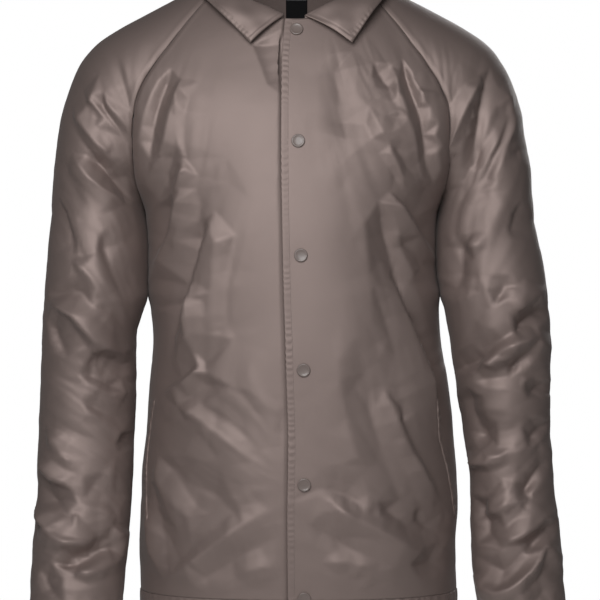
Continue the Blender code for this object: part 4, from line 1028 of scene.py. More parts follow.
def hold_factor(skin):
    """How freely each point may move: 0 where the cloth is held, 1 where it is free."""
    x, z = skin.points[:, 0], skin.points[:, 2]
    hold = ease((z - HEM_SEAM_Z) / HEM_HOLD)
    for name in ("sleeve_right", "sleeve_left"):
        at = skin.index[name].ravel()
        hold[at] = ease((z[at] - CUFF_SEAM_Z) / CUFF_HOLD)
    from_snaps = np.abs(x - column(FRONT_EDGE, "z", "snap_x", z))
    middle = SNAPS_KEEP + (1 - SNAPS_KEEP) * ease((from_snaps - SNAPS_REACH) / SNAPS_FADE)
    hold = hold * np.where((is_sleeve > 0) | (skin.points[:, 1] >= 0), 1.0, middle)
    for grid_index in skin.index.values():
        top = skin.points[grid_index[-1]]
        for row in grid_index[:-NECK_ROWS:-1]:
            gap = np.linalg.norm(skin.points[row] - top, axis=1)
            hold[row] = np.minimum(hold[row], ease(gap / NECK_HOLD))
    return hold


def cuff_gathers(skin, side):
    """The gathers of a sleeve's end, where the cuff's elastic draws it in."""
    index = skin.index[f"sleeve_{side}"]
    points = skin.points[index]
    centre = points[0].mean(axis=0)
    angle = np.arctan2(points[..., 1] - centre[1], points[..., 0] - centre[0])
    height = (points[..., 2] - CUFF_SEAM_Z) / CUFF_GATHER_HEIGHT
    sway = 0.9 * np.sin(2 * angle + 0.7) + 0.5 * np.sin(3 * angle + 2.1)
    wave = np.cos(CUFF_GATHERS * angle + sway) - 0.35
    strength = 0.65 + 0.35 * np.sin(4 * angle + 1.3)
    out = np.zeros(len(skin.points))
    out[index.ravel()] = (CUFF_GATHER_RISE * wave * strength * (1 - ease(height))).ravel()
    return out


def gap_closing(skin, normals, lift, side):
    """The lift that makes a sleeve and the body's side lean against each other below the underarm."""
    sign = -1 if side == "right" else 1
    now = skin.points + normals * lift[:, None]
    across = sign * seen_from(now, "front")[:, 0] * MM
    z = now[:, 2]
    sleeve = np.zeros(len(z), bool)
    sleeve[skin.index[f"sleeve_{side}"].ravel()] = True
    levels = np.arange(GAP_OPENS_Z, UNDERARM_Z, GAP_LEVEL)
    need = []
    for level in levels:
        near = np.abs(z - level) < GAP_LEVEL
        gap = across[near & sleeve].min() - across[near & (is_sleeve == 0)].max()
        need.append(np.clip(gap + GAP_OVERLAP, 0, GAP_MOST) / 2)
    need = np.array(need) * ease((levels - GAP_OPENS_Z) / GAP_FADE)
    facing = sign * normals[:, 0] * np.where(sleeve, -1, 1)
    own = sleeve | (is_sleeve == 0) & (sign * now[:, 0] > 0)
    share = np.clip(facing, 0, 1) ** 4 * own
    below_arm = ease((UNDERARM_Z + GAP_FADE - z) / GAP_FADE)
    return np.interp(z, levels, need, left=0.0) * share * below_arm


lift = lift * hold_factor(skin)
lift += cuff_gathers(skin, "right") + cuff_gathers(skin, "left")
lift += sum(gap_closing(skin, skin_normals, lift, side) for side in ("right", "left"))
skin.points = skin.points + skin_normals * lift[:, None]
print("points moved more than 3 mm:", int((np.abs(lift) > 3 * MM).sum()))

# %% [markdown]
# ## Making meshes from grids
#
# Every cloth piece below is a grid, so one helper makes them all. It also writes a UV map in real
# metres, warp along V and weft along U, so a weave can be drawn at its true scale on every piece.
# Another helper ties a finished piece to the frame and prints how large a sheet it is cut from,
# measured along the cloth.

# %% The mesh helpers
CLOTH_THICKNESS = 0.0005


def link(obj):
    bpy.context.scene.collection.objects.link(obj)
    return obj


def grid_object(name, grid, closed=False):
    """A smooth mesh through a grid of points, with a UV map in metres."""
    rows, cols = grid.shape[:2]
    i = np.arange(rows * cols).reshape(rows, cols)
    if closed:
        i = np.concatenate([i, i[:, :1]], axis=1)
    mesh = bpy.data.meshes.new(name)
    mesh.from_pydata(grid.reshape(-1, 3).tolist(), [], cells_of(i).tolist())
    across = np.linalg.norm(np.diff(grid, axis=1), axis=2).mean(axis=0)
    upward = np.linalg.norm(np.diff(grid, axis=0), axis=2).mean(axis=1)
    u, v = (np.concatenate([[0], np.cumsum(steps)]) for steps in (across, upward))
    if closed:
        u = np.concatenate([u, [u[-1] + across.mean()]])
    corner_u = np.stack([u[:-1], u[1:], u[1:], u[:-1]], axis=1)
    corner_v = np.stack([v[:-1], v[:-1], v[1:], v[1:]], axis=1)
    uv = np.zeros((rows - 1, len(u) - 1, 4, 2))
    uv[..., 0] = corner_u[None]
    uv[..., 1] = corner_v[:, None]
    mesh.uv_layers.new(name="cloth").data.foreach_set("uv", uv.reshape(-1))
    mesh.shade_smooth()
    return link(bpy.data.objects.new(name, mesh))


def faced_outwards(obj, axis_x):
    """Turns the mesh's faces so that they look away from an upright line."""
    mesh = obj.data
    total = 0.0
    for face in mesh.polygons:
        away = face.center - Vector((axis_x, 0, face.center.z))
        total += face.normal.dot(away) * face.area
    if total < 0:
        mesh.flip_normals()


def thickened(obj, thickness, side=-1):
    """Gives a sheet its thickness, inwards, outwards or to both sides."""
    wall = obj.modifiers.new("Thickness", "SOLIDIFY")
    wall.thickness = thickness
    wall.offset = side


def flat_size(grid):
    """The width, length and area of a grid of cloth, measured along it."""
    width = np.linalg.norm(np.diff(grid, axis=1), axis=2).sum(axis=1).max()
    length = np.linalg.norm(np.diff(grid, axis=0), axis=2).sum(axis=0).max()
    a, b = grid[1:, 1:] - grid[:-1, :-1], grid[1:, :-1] - grid[:-1, 1:]
    area = np.linalg.norm(np.cross(a, b), axis=2).sum() / 2
    return width, length, area


def dressed(obj, grid, stands_for=None):
    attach(obj, "root")
    if stands_for:
        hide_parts(stands_for)
    width, length, area = flat_size(grid)
    print(obj.name, "is cut to", round(width, 4), "by", round(length, 4), "m, area", round(area, 4))


# %% [markdown]
# ## The five panels
#
# The fronts, the back and the sleeves take their points back from the skin. At every seam the cloth
# dips, since the stitches pull it in, and the seam allowance makes a slight ridge beside it. The panels
# would look pasted together without that dip. Sheet sizes are measured over the finished cloth.

# %% Build the panels
SEAM_DIP = 0.0006
SEAM_DIP_WIDTH = 0.0013
SEAM_RIDGE = 0.0004
SEAM_RIDGE_AT = 0.006
SEAM_RIDGE_WIDTH = 0.003
SEAM_UNEVEN = 0.35
SEAM_UNEVEN_SIZE = 0.0045
PANEL_SEAMS = {
    "front_right": ("last_col",),
    "front_left": ("last_col",),
    "back": ("first_col", "last_col"),
    "sleeve_right": ("first_col", "last_col"),
    "sleeve_left": ("first_col", "last_col"),
}


def distance_from_edge(grid, edge):
    """The distance of every point from one edge of its grid, measured along the cloth."""
    step = np.linalg.norm(np.diff(grid, axis=1), axis=2)
    from_first = np.concatenate([np.zeros((len(grid), 1)), np.cumsum(step, axis=1)], axis=1)
    return from_first if edge == "first_col" else from_first[:, -1:] - from_first


final_normals = skin.normals(AXES)
panels, panel_grids, panel_normals = {}, {}, {}
for name, index in skin.index.items():
    grid, normals = skin.points[index], final_normals[index]
    dip = np.zeros(grid.shape[:2])
    for edge in PANEL_SEAMS[name]:
        away = distance_from_edge(grid, edge)
        uneven = 1 + SEAM_UNEVEN * np.sin(lengths_along(grid[:, 0])[:, None] / SEAM_UNEVEN_SIZE)
        dip -= SEAM_DIP * uneven * np.exp(-((away / SEAM_DIP_WIDTH) ** 2))
        dip += SEAM_RIDGE * np.exp(-(((away - SEAM_RIDGE_AT) / SEAM_RIDGE_WIDTH) ** 2))
    grid = grid + normals * dip[..., None]
    obj = grid_object(f"{name}_cloth", grid)
    faced_outwards(obj, AXES[name])
    thickened(obj, CLOTH_THICKNESS)
    dressed(obj, grid, name)
    panels[name], panel_grids[name], panel_normals[name] = obj, grid, normals

# %% [markdown]
# ## Reading the finished cloth
#
# The collar, the placket, the welts and the snaps all sit on the panels. They are placed by asking the
# finished panels where their surface is, so nothing floats and nothing is buried. A search tree over
# the panels' faces answers that quickly.

# %% A search tree over the panels


def tree_over(grids):
    """A search tree over the cells of some grids."""
    points, faces = [], []
    for grid in grids:
        base, (rows, cols) = len(points), grid.shape[:2]
        points += grid.reshape(-1, 3).tolist()
        faces += cells_of(base + np.arange(rows * cols).reshape(rows, cols)).tolist()
    return BVHTree.FromPolygons(points, faces)


def read_grid(grid, rows_at, cols_at):
    """A grid read at fractional row and column numbers."""
    rows_at, cols_at = np.broadcast_arrays(rows_at, cols_at)
    j = np.clip(np.floor(rows_at).astype(int), 0, grid.shape[0] - 2)
    i = np.clip(np.floor(cols_at).astype(int), 0, grid.shape[1] - 2)
    t, s = (rows_at - j)[..., None], (cols_at - i)[..., None]
    low = grid[j, i] * (1 - s) + grid[j, i + 1] * s
    high = grid[j + 1, i] * (1 - s) + grid[j + 1, i + 1] * s
    return low * (1 - t) + high * t


panel_tree = tree_over(panel_grids.values())
front_tree = tree_over([panel_grids["front_left"], panel_grids["front_right"]])
print("panels are ready to be built on")

# %% [markdown]
# ## Stitches
#
# A lockstitch shows as a row of short threads, each a little sunk at both ends. At this scale a thread
# needs only six points: two ends, and a small square ring round its middle. All the stitches of one
# piece are joined into one mesh, which keeps the number of objects small.

# %% The stitching helper
STITCH_PITCH = 0.0028
STITCH_LENGTH = 0.0021
THREAD_RADIUS = 0.00026
STITCH_LIFT = 0.0001
STITCH_FACES = np.array(
    [[0, 2, 3], [0, 3, 4], [0, 4, 5], [0, 5, 2], [1, 3, 2], [1, 4, 3], [1, 5, 4], [1, 2, 5]]
)


def stitch_run(points, normals):
    """Points and faces of the stitches along a line, given the cloth's normals beside it."""
    length = lengths_along(points)
    count = max(1, int(length[-1] / STITCH_PITCH))
    centres = (np.arange(count) + 0.5) * STITCH_PITCH
    centre = read_along(points, length, centres)
    ahead = read_along(points, length, centres + STITCH_LENGTH / 2)
    behind = read_along(points, length, centres - STITCH_LENGTH / 2)
    out = unit(read_along(normals, length, centres))
    side = unit(np.cross(ahead - behind, out))
    sink = out * THREAD_RADIUS * 0.6
    lift = out * THREAD_RADIUS
    beside = side * THREAD_RADIUS
    ring = [centre + beside, centre + lift * 1.5, centre - beside, centre - lift]
    verts = np.stack([behind - sink, ahead - sink] + ring, axis=1)
    faces = (np.arange(count)[:, None, None] * 6 + STITCH_FACES).reshape(-1, 3)
    return verts.reshape(-1, 3), faces


def stitching(name, runs):
    """One object with the stitches of several runs."""
    verts, faces, base = [], [], 0
    for points, normals in runs:
        v, f = stitch_run(np.asarray(points), np.asarray(normals))
        verts.append(v)
        faces.append(f + base)
        base += len(v)
    mesh = bpy.data.meshes.new(name)
    mesh.from_pydata(np.concatenate(verts).tolist(), [], np.concatenate(faces).tolist())
    mesh.shade_smooth()
    obj = link(bpy.data.objects.new(name, mesh))
    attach(obj, "root")
    print(name, "has", base // 6, "stitches")
    return obj


# %% [markdown]
# ## The placket
#
# The left front's edge is folded back and stitched down eight millimetres in. The fold is twice as
# thick as the cloth, and it puckers between the edge and the stitches, because thread pulls harder than
# taffeta can resist. So the fold gets a fine strip of its own, which wraps round the edge and sinks into
# the panel at the stitch line.

# %% Build the placket
PLACKET_WIDTH = 0.0084
PLACKET_RISE = 0.0005
PLACKET_STEP = 0.0013
PUCKER_RISE = 0.00026
PUCKER_LENGTH = 0.0072
PLACKET_ACROSS_MM = (0, 0.5, 1.4, 2.6, 4.0, 5.4, 6.6, 7.6, 8.4, 9.2)
PLACKET_STITCH_COL = 7
PLACKET_EDGE_WAVE = 0.00035


def pucker(along, seed, length=PUCKER_LENGTH):
    """An uneven ripple along a seam, between about -1 and 1."""
    drift = np.array([noise.noise(Vector((s / 0.021, seed, 0.5))) for s in along])
    size = np.array([noise.noise(Vector((s / 0.034, seed + 7.1, 0.5))) for s in along])
    return np.sin(2 * math.pi * along / length + 4.5 * drift) * (0.62 + 0.75 * size)


def placket_grid():
    """The folded edge of the left front, and the line of its stitches."""
    grid, normals = panel_grids["front_left"], panel_normals["front_left"]
    edge = grid[:, 0]
    length = lengths_along(edge)
    along = np.arange(0.0004, length[-1] - 0.0004, PLACKET_STEP)
    rows_at = np.interp(along, length, np.arange(len(edge)))
    reach = distance_from_edge(grid, "first_col")[len(grid) // 2]
    across = np.array(PLACKET_ACROSS_MM) * MM
    cols_at = np.interp(across, reach, np.arange(len(reach)))
    points = read_grid(grid, rows_at[:, None], cols_at[None])
    out = unit(read_grid(normals, rows_at[:, None], cols_at[None]))
    ripple = pucker(along, 2.3)[:, None]
    share = across / PLACKET_WIDTH
    hill = np.sin(math.pi * np.clip(share, 0, 1)) ** 0.7
    rise = PLACKET_RISE * (1 - ease((share - 0.2) / 0.8)) + PUCKER_RISE * ripple * hill
    rise = np.where(share > 1.02, -0.0008, rise)
    rise[:, -2] = -0.0002
    inward = unit(points[:, 1] - points[:, 0])
    strip = points + out * rise[..., None]
    strip[:, :3] += (inward * PLACKET_EDGE_WAVE * ripple)[:, None]
    wrap = [strip[:, 0] + inward * 0.0012 - out[:, 0] * 0.0015, strip[:, 0] - out[:, 0] * 0.0012]
    wrap.append(strip[:, 0] - inward * 0.0004 - out[:, 0] * 0.0004)
    strip = np.concatenate([np.stack(wrap, axis=1), strip], axis=1)
    return strip, strip[:, len(wrap) + PLACKET_STITCH_COL], out[:, PLACKET_STITCH_COL]


placket, placket_line, placket_out = placket_grid()
placket_obj = grid_object("placket_fold", placket)
faced_outwards(placket_obj, 0.0)
dressed(placket_obj, placket)

# %% [markdown]
# ## The collar
#
# A shirt collar is one folded piece: it stands up from the neck seam, turns over at the roll line and
# falls to its edge. Its fall is given at nine places round half the neck, and read smoothly between
# them. Each section's fall is then lifted wherever it would touch the shoulders.

# %% Collar tables
CollarRow = namedtuple("CollarRow", "share stand roll edge_x edge_y edge_z shift")
COLLAR = [
    CollarRow(0.00, 0.0010, 0.0020, 0.0520, -0.113, -0.0870, 0.0),
    CollarRow(0.07, 0.0085, 0.0026, 0.0640, -0.108, -0.0740, 0.0),
    CollarRow(0.18, 0.0125, 0.0030, 0.0830, -0.098, -0.0535, 0.2),
    CollarRow(0.36, 0.0150, 0.0034, 0.1070, -0.062, -0.0270, 0.5),
    CollarRow(0.53, 0.0185, 0.0034, 0.1190, -0.010, -0.0130, 1.0),
    CollarRow(0.64, 0.0225, 0.0034, 0.1130, 0.030, -0.0150, 1.0),
    CollarRow(0.78, 0.0280, 0.0034, 0.0880, 0.074, -0.0270, 1.0),
    CollarRow(0.90, 0.0315, 0.0034, 0.0480, 0.098, -0.0360, 0.7),
    CollarRow(1.00, 0.0325, 0.0034, 0.0000, 0.104, -0.0385, 0.5),
]
COLLAR_THICKNESS = 0.0012
COLLAR_RIGHT_END_X = -0.0142
COLLAR_LEFT_END_X = 0.0096
COLLAR_STATIONS = 400
COLLAR_LEAN = 0.08
COLLAR_LEFT_POINT_SHIFT = 0.011
COLLAR_LEFT_POINT_REACH = 0.35
COLLAR_CLEARANCE = 0.0020
COLLAR_BULGE = 0.0035
STAND_STEPS = 8
ROLL_STEPS = 8
FALL_STEPS = 18
COLLAR_STITCH_IN = 0.0055
LIFT_PASSES = 8
COLLAR_BAND_RISE = 0.0003
COLLAR_PUCKER = 0.0006
COLLAR_PUCKER_LENGTH = 0.0064
COLLAR_DIP = 0.0006
COLLAR_DIP_WIDTH = 0.0009
COLLAR_CRUMPLE = 0.0018
COLLAR_CRUMPLE_SIZE = 0.020
ROLL_TURN_DEG = 135

# %% Build the collar


def neck_line():
    """The neck seam, from the collar's end on the right front round the back to its left end."""
    tops = {name: grid[-1] for name, grid in panel_grids.items()}
    right = cut_at(tops["front_right"][::-1], COLLAR_RIGHT_END_X, "below")[::-1]
    left = cut_at(tops["front_left"], COLLAR_LEFT_END_X, "above")[::-1]
    rows = [right, tops["sleeve_right"], tops["back"], tops["sleeve_left"][::-1], left]
    return np.concatenate([rows[0]] + [row[1:] for row in rows[1:]])


def lifted_off(point, away):
    """The point, moved off the panels until the collar's clearance is kept."""
    point = Vector(point)
    away = Vector(away)
    for _ in range(LIFT_PASSES):
        near, normal, _, _ = panel_tree.find_nearest(point)
        normal = normal if normal.dot(away) > 0 else -normal
        lack = COLLAR_CLEARANCE - (point - near).dot(normal)
        if lack <= 0:
            break
        point += normal * lack
    return np.array(point)


def collar_section(base_point, out, share, sign):
    """The collar's middle line at one place: up the stand, over the roll and down the fall."""
    stand, roll, edge_x, edge_y, edge_z, shift = (
        float(column(COLLAR, "share", name, share)) for name in CollarRow._fields[1:]
    )
    edge = np.array([sign * edge_x + SHOULDER_SHIFT * shift, edge_y, edge_z])
    if sign > 0:
        edge[0] += COLLAR_LEFT_POINT_SHIFT * max(0, 1 - share / COLLAR_LEFT_POINT_REACH) ** 2
    base = base_point + UP * 0.0002 - out * COLLAR_THICKNESS / 2
    top = base + UP * stand - out * stand * COLLAR_LEAN
    points = [base + (top - base) * t for t in np.linspace(0, 1, STAND_STEPS, endpoint=False)]
    for turn in np.linspace(0, math.radians(ROLL_TURN_DEG), ROLL_STEPS):
        points.append(top + out * roll * (1 - math.cos(turn)) + UP * roll * math.sin(turn))
    start = points[-1]
    away = unit(out + UP)
    for t in np.linspace(0, 1, FALL_STEPS + 1)[1:]:
        bulge = away * COLLAR_BULGE * math.sin(math.pi * t)
        points.append(lifted_off(start + (edge - start) * t + bulge, away))
    return points


def smoothed_rows(grid, passes):
    """Evens out a grid along its rows and columns, keeping its edges."""
    for _ in range(passes):
        grid[1:-1] = grid[1:-1] * 0.5 + (grid[:-2] + grid[2:]) * 0.25
        grid[:, 1:-1] = grid[:, 1:-1] * 0.5 + (grid[:, :-2] + grid[:, 2:]) * 0.25
    return grid


def grid_normals(grid, away):
    """Unit normals of a grid, turned to agree with a direction on the whole."""
    rise = np.gradient(grid, axis=0)
    across = np.gradient(grid, axis=1)
    normals = unit(np.cross(across, rise))
    return normals if (normals * away).sum() > 0 else -normals


def collar_grid():
    """The collar's sections, with its edge puckered along the topstitching."""
    line = neck_line()
    length = lengths_along(line)
    at, step = np.linspace(0, length[-1], COLLAR_STATIONS + 1, retstep=True)
    spread = step * 4
    tangents = read_along(line, length, at + spread) - read_along(line, length, at - spread)
    outs = unit(np.cross(UP, tangents * (1, 1, 0)))
    middle = length[-1] / 2
    sections = []
    for distance, base_point, out in zip(at, read_along(line, length, at), outs):
        share = min(distance, length[-1] - distance) / middle
        sections.append(collar_section(base_point, out, share, -1 if distance < middle else 1))
    grid = smoothed_rows(np.array(sections), 3)
    normals = grid_normals(grid, outs[:, None] + UP)
    edge_gap = np.linalg.norm(np.diff(grid, axis=1), axis=2)
    from_edge = np.cumsum(edge_gap[:, ::-1], axis=1)[:, ::-1]
    from_edge = np.concatenate([from_edge, np.zeros((len(grid), 1))], axis=1)
    end_gap = np.linalg.norm(np.diff(grid, axis=0), axis=2)
    from_right = np.concatenate([np.zeros((1, grid.shape[1])), np.cumsum(end_gap, axis=0)])
    from_end = np.minimum(from_right, from_right[-1:] - from_right)
    on_fall = np.arange(grid.shape[1])[None] >= STAND_STEPS + ROLL_STEPS - 2
    border = np.where(on_fall, np.minimum(from_edge, from_end), 1.0)
    ripple = pucker(from_right[:, -1], 5.9, COLLAR_PUCKER_LENGTH)[:, None]
    band = np.sin(math.pi * np.clip(border / COLLAR_STITCH_IN, 0, 1))
    dip = np.exp(-(((border - COLLAR_STITCH_IN) / COLLAR_DIP_WIDTH) ** 2))
    crumple = noise_at(grid.reshape(-1, 3), COLLAR_CRUMPLE_SIZE, (1, 1, 1), 41.2)
    calm = ease(border / 0.004) * on_fall
    lift = band * (COLLAR_BAND_RISE + COLLAR_PUCKER * ripple) - COLLAR_DIP * dip
    lift += COLLAR_CRUMPLE * crumple.reshape(border.shape) * calm
    return grid + normals * lift[..., None], normals, border


def line_at(grid, normals, border, want, cols, rows):
    """The line on part of a grid that lies a given distance in from its border."""
    points, outs = [], []
    for j in rows:
        row = border[j, cols]
        hit = int(np.abs(row - want).argmin())
        points.append(grid[j, cols][hit])
        outs.append(normals[j, cols][hit])
    return np.array(points), np.array(outs)


collar, collar_normals, collar_border = collar_grid()
collar_obj = grid_object("collar_cloth", collar)
thickened(collar_obj, COLLAR_THICKNESS, 0)
dressed(collar_obj, collar, "collar")

# %% [markdown]
# ## The hem
#
# The bottom of the body is cased: a strip is sewn on and folded under, which leaves a soft round edge.
# The strip is drawn as that fold, outside first, round the bottom and a little way up inside. It
# puckers unevenly under the seam.

# %% Build the hem casing
HEM_HEIGHT = 0.022
HEM_BACKING = 0.0016
HEM_STEP = 0.0016
HEM_PUCKER = 0.0007
HEM_PUFF = 0.0011
HEM_DIP = 0.0007
HEM_WAVE = 0.0009
HEM_TURN_STEPS = 5
HEM_INSIDE = (0.004, 0.010, 0.018)


def hem_grid():
    """The casing's folded strip, running from the left front's edge round the back to the right's."""
    rows = {name: panel_grids[name][0] for name in ("front_left", "back", "front_right")}
    outs = {name: panel_normals[name][0] for name in rows}
    order = [("front_left", 1), ("back", -1), ("front_right", -1)]
    line = np.concatenate([rows[name][::turn] for name, turn in order])
    out = np.concatenate([outs[name][::turn] for name, turn in order])
    keep = np.concatenate([[True], np.linalg.norm(np.diff(line, axis=0), axis=1) > 1e-6])
    line, out = line[keep], out[keep] * (1, 1, 0)
    length = lengths_along(line)
    along = np.arange(0, length[-1], HEM_STEP)
    base, out = read_along(line, length, along), unit(read_along(out, length, along))
    ripple = pucker(along, 9.4, 0.0115)
    slow = pucker(along, 13.7, 0.045)
    drops = np.concatenate([[0, 0.0006, 0.0016], np.linspace(0.003, HEM_HEIGHT - 0.0012, 10)])
    strip = []
    for drop in drops:
        share = drop / HEM_HEIGHT
        puff = HEM_PUFF * math.sin(math.pi * min(1, share * 1.1)) ** 0.6
        puff -= HEM_DIP * math.exp(-((share / 0.05) ** 2))
        wave = HEM_PUCKER * ripple * math.exp(-share * 2.2) + HEM_WAVE * slow * share
        strip.append(base + out * (puff + wave * (share > 0))[:, None] - UP * drop)
    radius = HEM_BACKING / 2
    for turn in np.linspace(0, math.pi, HEM_TURN_STEPS + 2)[1:]:
        inset = out * radius * (1 - math.cos(turn))
        strip.append(strip[len(drops) - 1] - inset - UP * radius * math.sin(turn))
    strip += [strip[-1] + UP * rise for rise in HEM_INSIDE]
    return np.array(strip), out


hem, hem_out = hem_grid()
hem_obj = grid_object("hem_casing_cloth", hem)
faced_outwards(hem_obj, 0.0)
dressed(hem_obj, hem, "hem_casing")

# %% [markdown]
# ## The cuffs
#
# Each cuff is a casing with elastic inside, so it is full of small gathers. A gather is a wave in the
# ring's radius. The waves are uneven in size and spacing, since even ones look like a machine part, and
# two lines of stitching hold them down.

# %% Build the cuffs
CUFF_HEIGHT = 0.027
CUFF_TAPER = 0.97
CUFF_WAVES = 30
CUFF_WAVE = 0.0013
CUFF_SWELL = 0.0009
CUFF_STEPS = 300
CUFF_STITCH_AT = (0.30, 0.72)
CUFF_ROWS = 22
CUFF_FOLD_MM = ((0.5, -0.6), (1.3, -0.4), (1.8, 0.6), (2.0, 6.0), (2.0, 16.0))


def cuff_grid(side):
    """The gathered band below a sleeve, folded in at its lower edge."""
    ring = panel_grids[f"sleeve_{side}"][0]
    length = lengths_along(ring)
    ring = read_along(ring, length, np.linspace(0, length[-1], CUFF_STEPS + 1))[:-1]
    centre = ring.mean(axis=0)
    out = unit((ring - centre) * (1, 1, 0))
    angle = np.arctan2(out[:, 1], out[:, 0])
    sway = 1.3 * np.sin(2 * angle + 0.4) + 0.8 * np.sin(5 * angle + 1.9)
    size = 0.75 + 0.25 * np.sin(3 * angle + 0.6)
    strip = []
    for share in np.linspace(0, 1, CUFF_ROWS):
        held = min(abs(share - at) for at in CUFF_STITCH_AT)
        loose = 0.35 + 0.65 * ease(held / 0.12)
        turn = 2.2 * share + 0.5 * math.sin(7 * share)
        wave = CUFF_WAVE * size * (np.cos(CUFF_WAVES * angle + sway + turn) - 0.6) * loose
        swell = CUFF_SWELL * (loose - 0.5)
        scale = 1 + (CUFF_TAPER - 1) * share
        row = centre + (ring - centre) * scale + out * (wave + swell)[:, None]
        row[:, 2] = centre[2] - CUFF_HEIGHT * share
        strip.append(row)
    strip += [strip[-1] - (out * inset - UP * rise) * MM for inset, rise in CUFF_FOLD_MM]
    return np.array(strip), out


cuff_objects, cuff_runs = [], []
for side in ("right", "left"):
    cuff, cuff_out = cuff_grid(side)
    obj = grid_object(f"cuff_{side}_cloth", cuff, closed=True)
    faced_outwards(obj, SLEEVE_AXIS_X[side] * 1.12)
    dressed(obj, cuff, f"cuff_{side}")
    cuff_objects.append(obj)
    for at in CUFF_STITCH_AT:
        row = cuff[round(at * (CUFF_ROWS - 1))]
        cuff_runs.append((row + cuff_out * STITCH_LIFT, cuff_out))

# %% [markdown]
# ## The pocket welts
#
# Each pocket is a slanted opening near the side, with a narrow welt along it and a bar tack at each
# end. The welt is a strip that stands up along the opening and lies flat towards the side seam. Pockets
# are used, so its edge is the most puckered line on the jacket.

# %% Build the welts
WeltRow = namedtuple("WeltRow", "z right_x left_x")
WELT_LINES = [
    WeltRow(-0.632, -0.171, 0.1830),
    WeltRow(-0.572, -0.172, 0.1725),
    WeltRow(-0.532, -0.169, 0.1625),
    WeltRow(-0.488, -0.162, 0.1595),
]
WELT_WIDTH = 0.021
WELT_STEP = 0.0014
WELT_RISE = 0.0009
WELT_EDGE = (0, 0.0006, 0.0014, 0.0024, 0.0036, 0.005)
WELT_TACK_ROWS = (3, 4, -4, -5)
WELT_TACK_COLS = slice(1, 9)


def welt_grid(side):
    """A welt, each row running from the opening towards the side seam."""
    grid, normals = panel_grids[f"front_{side}"], panel_normals[f"front_{side}"]
    sign = -1 if side == "right" else 1
    top, bottom = WELT_LINES[-1].z, WELT_LINES[0].z
    levels = np.arange(bottom, top, WELT_STEP)
    ripple = pucker(levels - bottom, 17.3 + sign, 0.0105)
    lumps = pucker(levels - bottom, 29.1 + sign, 0.027)
    across = np.concatenate([WELT_EDGE, np.linspace(0.007, WELT_WIDTH, 8)])
    centre_z = grid[:, 0, 2]
    every_col = np.arange(grid.shape[1])
    points, outs = [], []
    for z, wave, lump in zip(levels, ripple, lumps):
        row_at = float(np.interp(z, centre_z, np.arange(len(centre_z))))
        row = read_grid(grid, row_at, every_col)
        out = unit(read_grid(normals, row_at, every_col))
        length = lengths_along(row)
        line_x = sign * float(column(WELT_LINES, "z", f"{side}_x", z))
        start = float(np.interp(line_x, sign * row[:, 0], length)) + 0.0012 * lump
        end_fade = ease((z - bottom) / 0.008) * ease((top - z) / 0.008)
        rise = WELT_RISE * np.exp(-((across - 0.003) / 0.0042) ** 2) * (1 + 0.45 * wave)
        rise += 0.0005 * wave * np.exp(-((across - 0.009) / 0.005) ** 2) + 0.0004
        rise = rise * end_fade
        rise[0], rise[-1] = -0.0003, -0.0004
        outs.append(unit(read_along(out, length, start + across)))
        points.append(read_along(row, length, start + across) + outs[-1] * rise[:, None])
    return np.array(points), np.array(outs)


welt_objects, welt_runs = [], []
for side in ("right", "left"):
    welt, welt_out = welt_grid(side)
    obj = grid_object(f"pocket_welt_{side}_cloth", welt)
    faced_outwards(obj, 0.0)
    dressed(obj, welt, f"pocket_welt_{side}")
    welt_objects.append(obj)
    for row in WELT_TACK_ROWS:
        tack_out = welt_out[row, WELT_TACK_COLS]
        welt_runs.append((welt[row, WELT_TACK_COLS] + tack_out * 2 * STITCH_LIFT, tack_out))

# %% [markdown]
# ## The snaps
#
# A snap's cap is a shallow turned disc with a rolled rim and a slightly dished face, enamelled in the
# cloth's colour. It is spun from half its section. The frame's own caps say where each one sits, and
# the cloth under it says which way it faces.

# %% Build the snaps
SnapRow = namedtuple("SnapRow", "radius height")
SNAP_SECTION = [
    SnapRow(0.00, 1.72),
    SnapRow(2.60, 1.76),
    SnapRow(4.40, 1.88),
    SnapRow(5.40, 2.08),
    SnapRow(6.00, 2.30),
    SnapRow(6.50, 2.36),
    SnapRow(7.00, 2.22),
    SnapRow(7.35, 1.90),
    SnapRow(7.55, 1.40),
    SnapRow(7.58, 0.90),
    SnapRow(7.45, 0.40),
    SnapRow(7.20, 0.05),
]
SNAP_COUNT = 6
SNAP_TURN_STEPS = 64
SNAP_LIFT = 0.0001


def snap_mesh():
    """A cap turned from its section, with its axis along Z."""
    angles = np.linspace(0, 2 * math.pi, SNAP_TURN_STEPS, endpoint=False)
    verts = [(0, 0, SNAP_SECTION[0].height * MM)]
    for row in SNAP_SECTION[1:]:
        radius, height = row.radius * MM, row.height * MM
        verts += [(radius * math.cos(a), radius * math.sin(a), height) for a in angles]
    verts.append((0, 0, 0))
    n = SNAP_TURN_STEPS
    faces = [(0, 1 + i, 1 + (i + 1) % n) for i in range(n)]
    for ring in range(len(SNAP_SECTION) - 2):
        a, b = 1 + ring * n, 1 + (ring + 1) * n
        faces += [(a + i, b + i, b + (i + 1) % n, a + (i + 1) % n) for i in range(n)]
    last = 1 + (len(SNAP_SECTION) - 2) * n
    faces += [(last + i, len(verts) - 1, last + (i + 1) % n) for i in range(n)]
    mesh = bpy.data.meshes.new("snap_cap")
    mesh.from_pydata(verts, [], faces)
    mesh.shade_smooth()
    return mesh


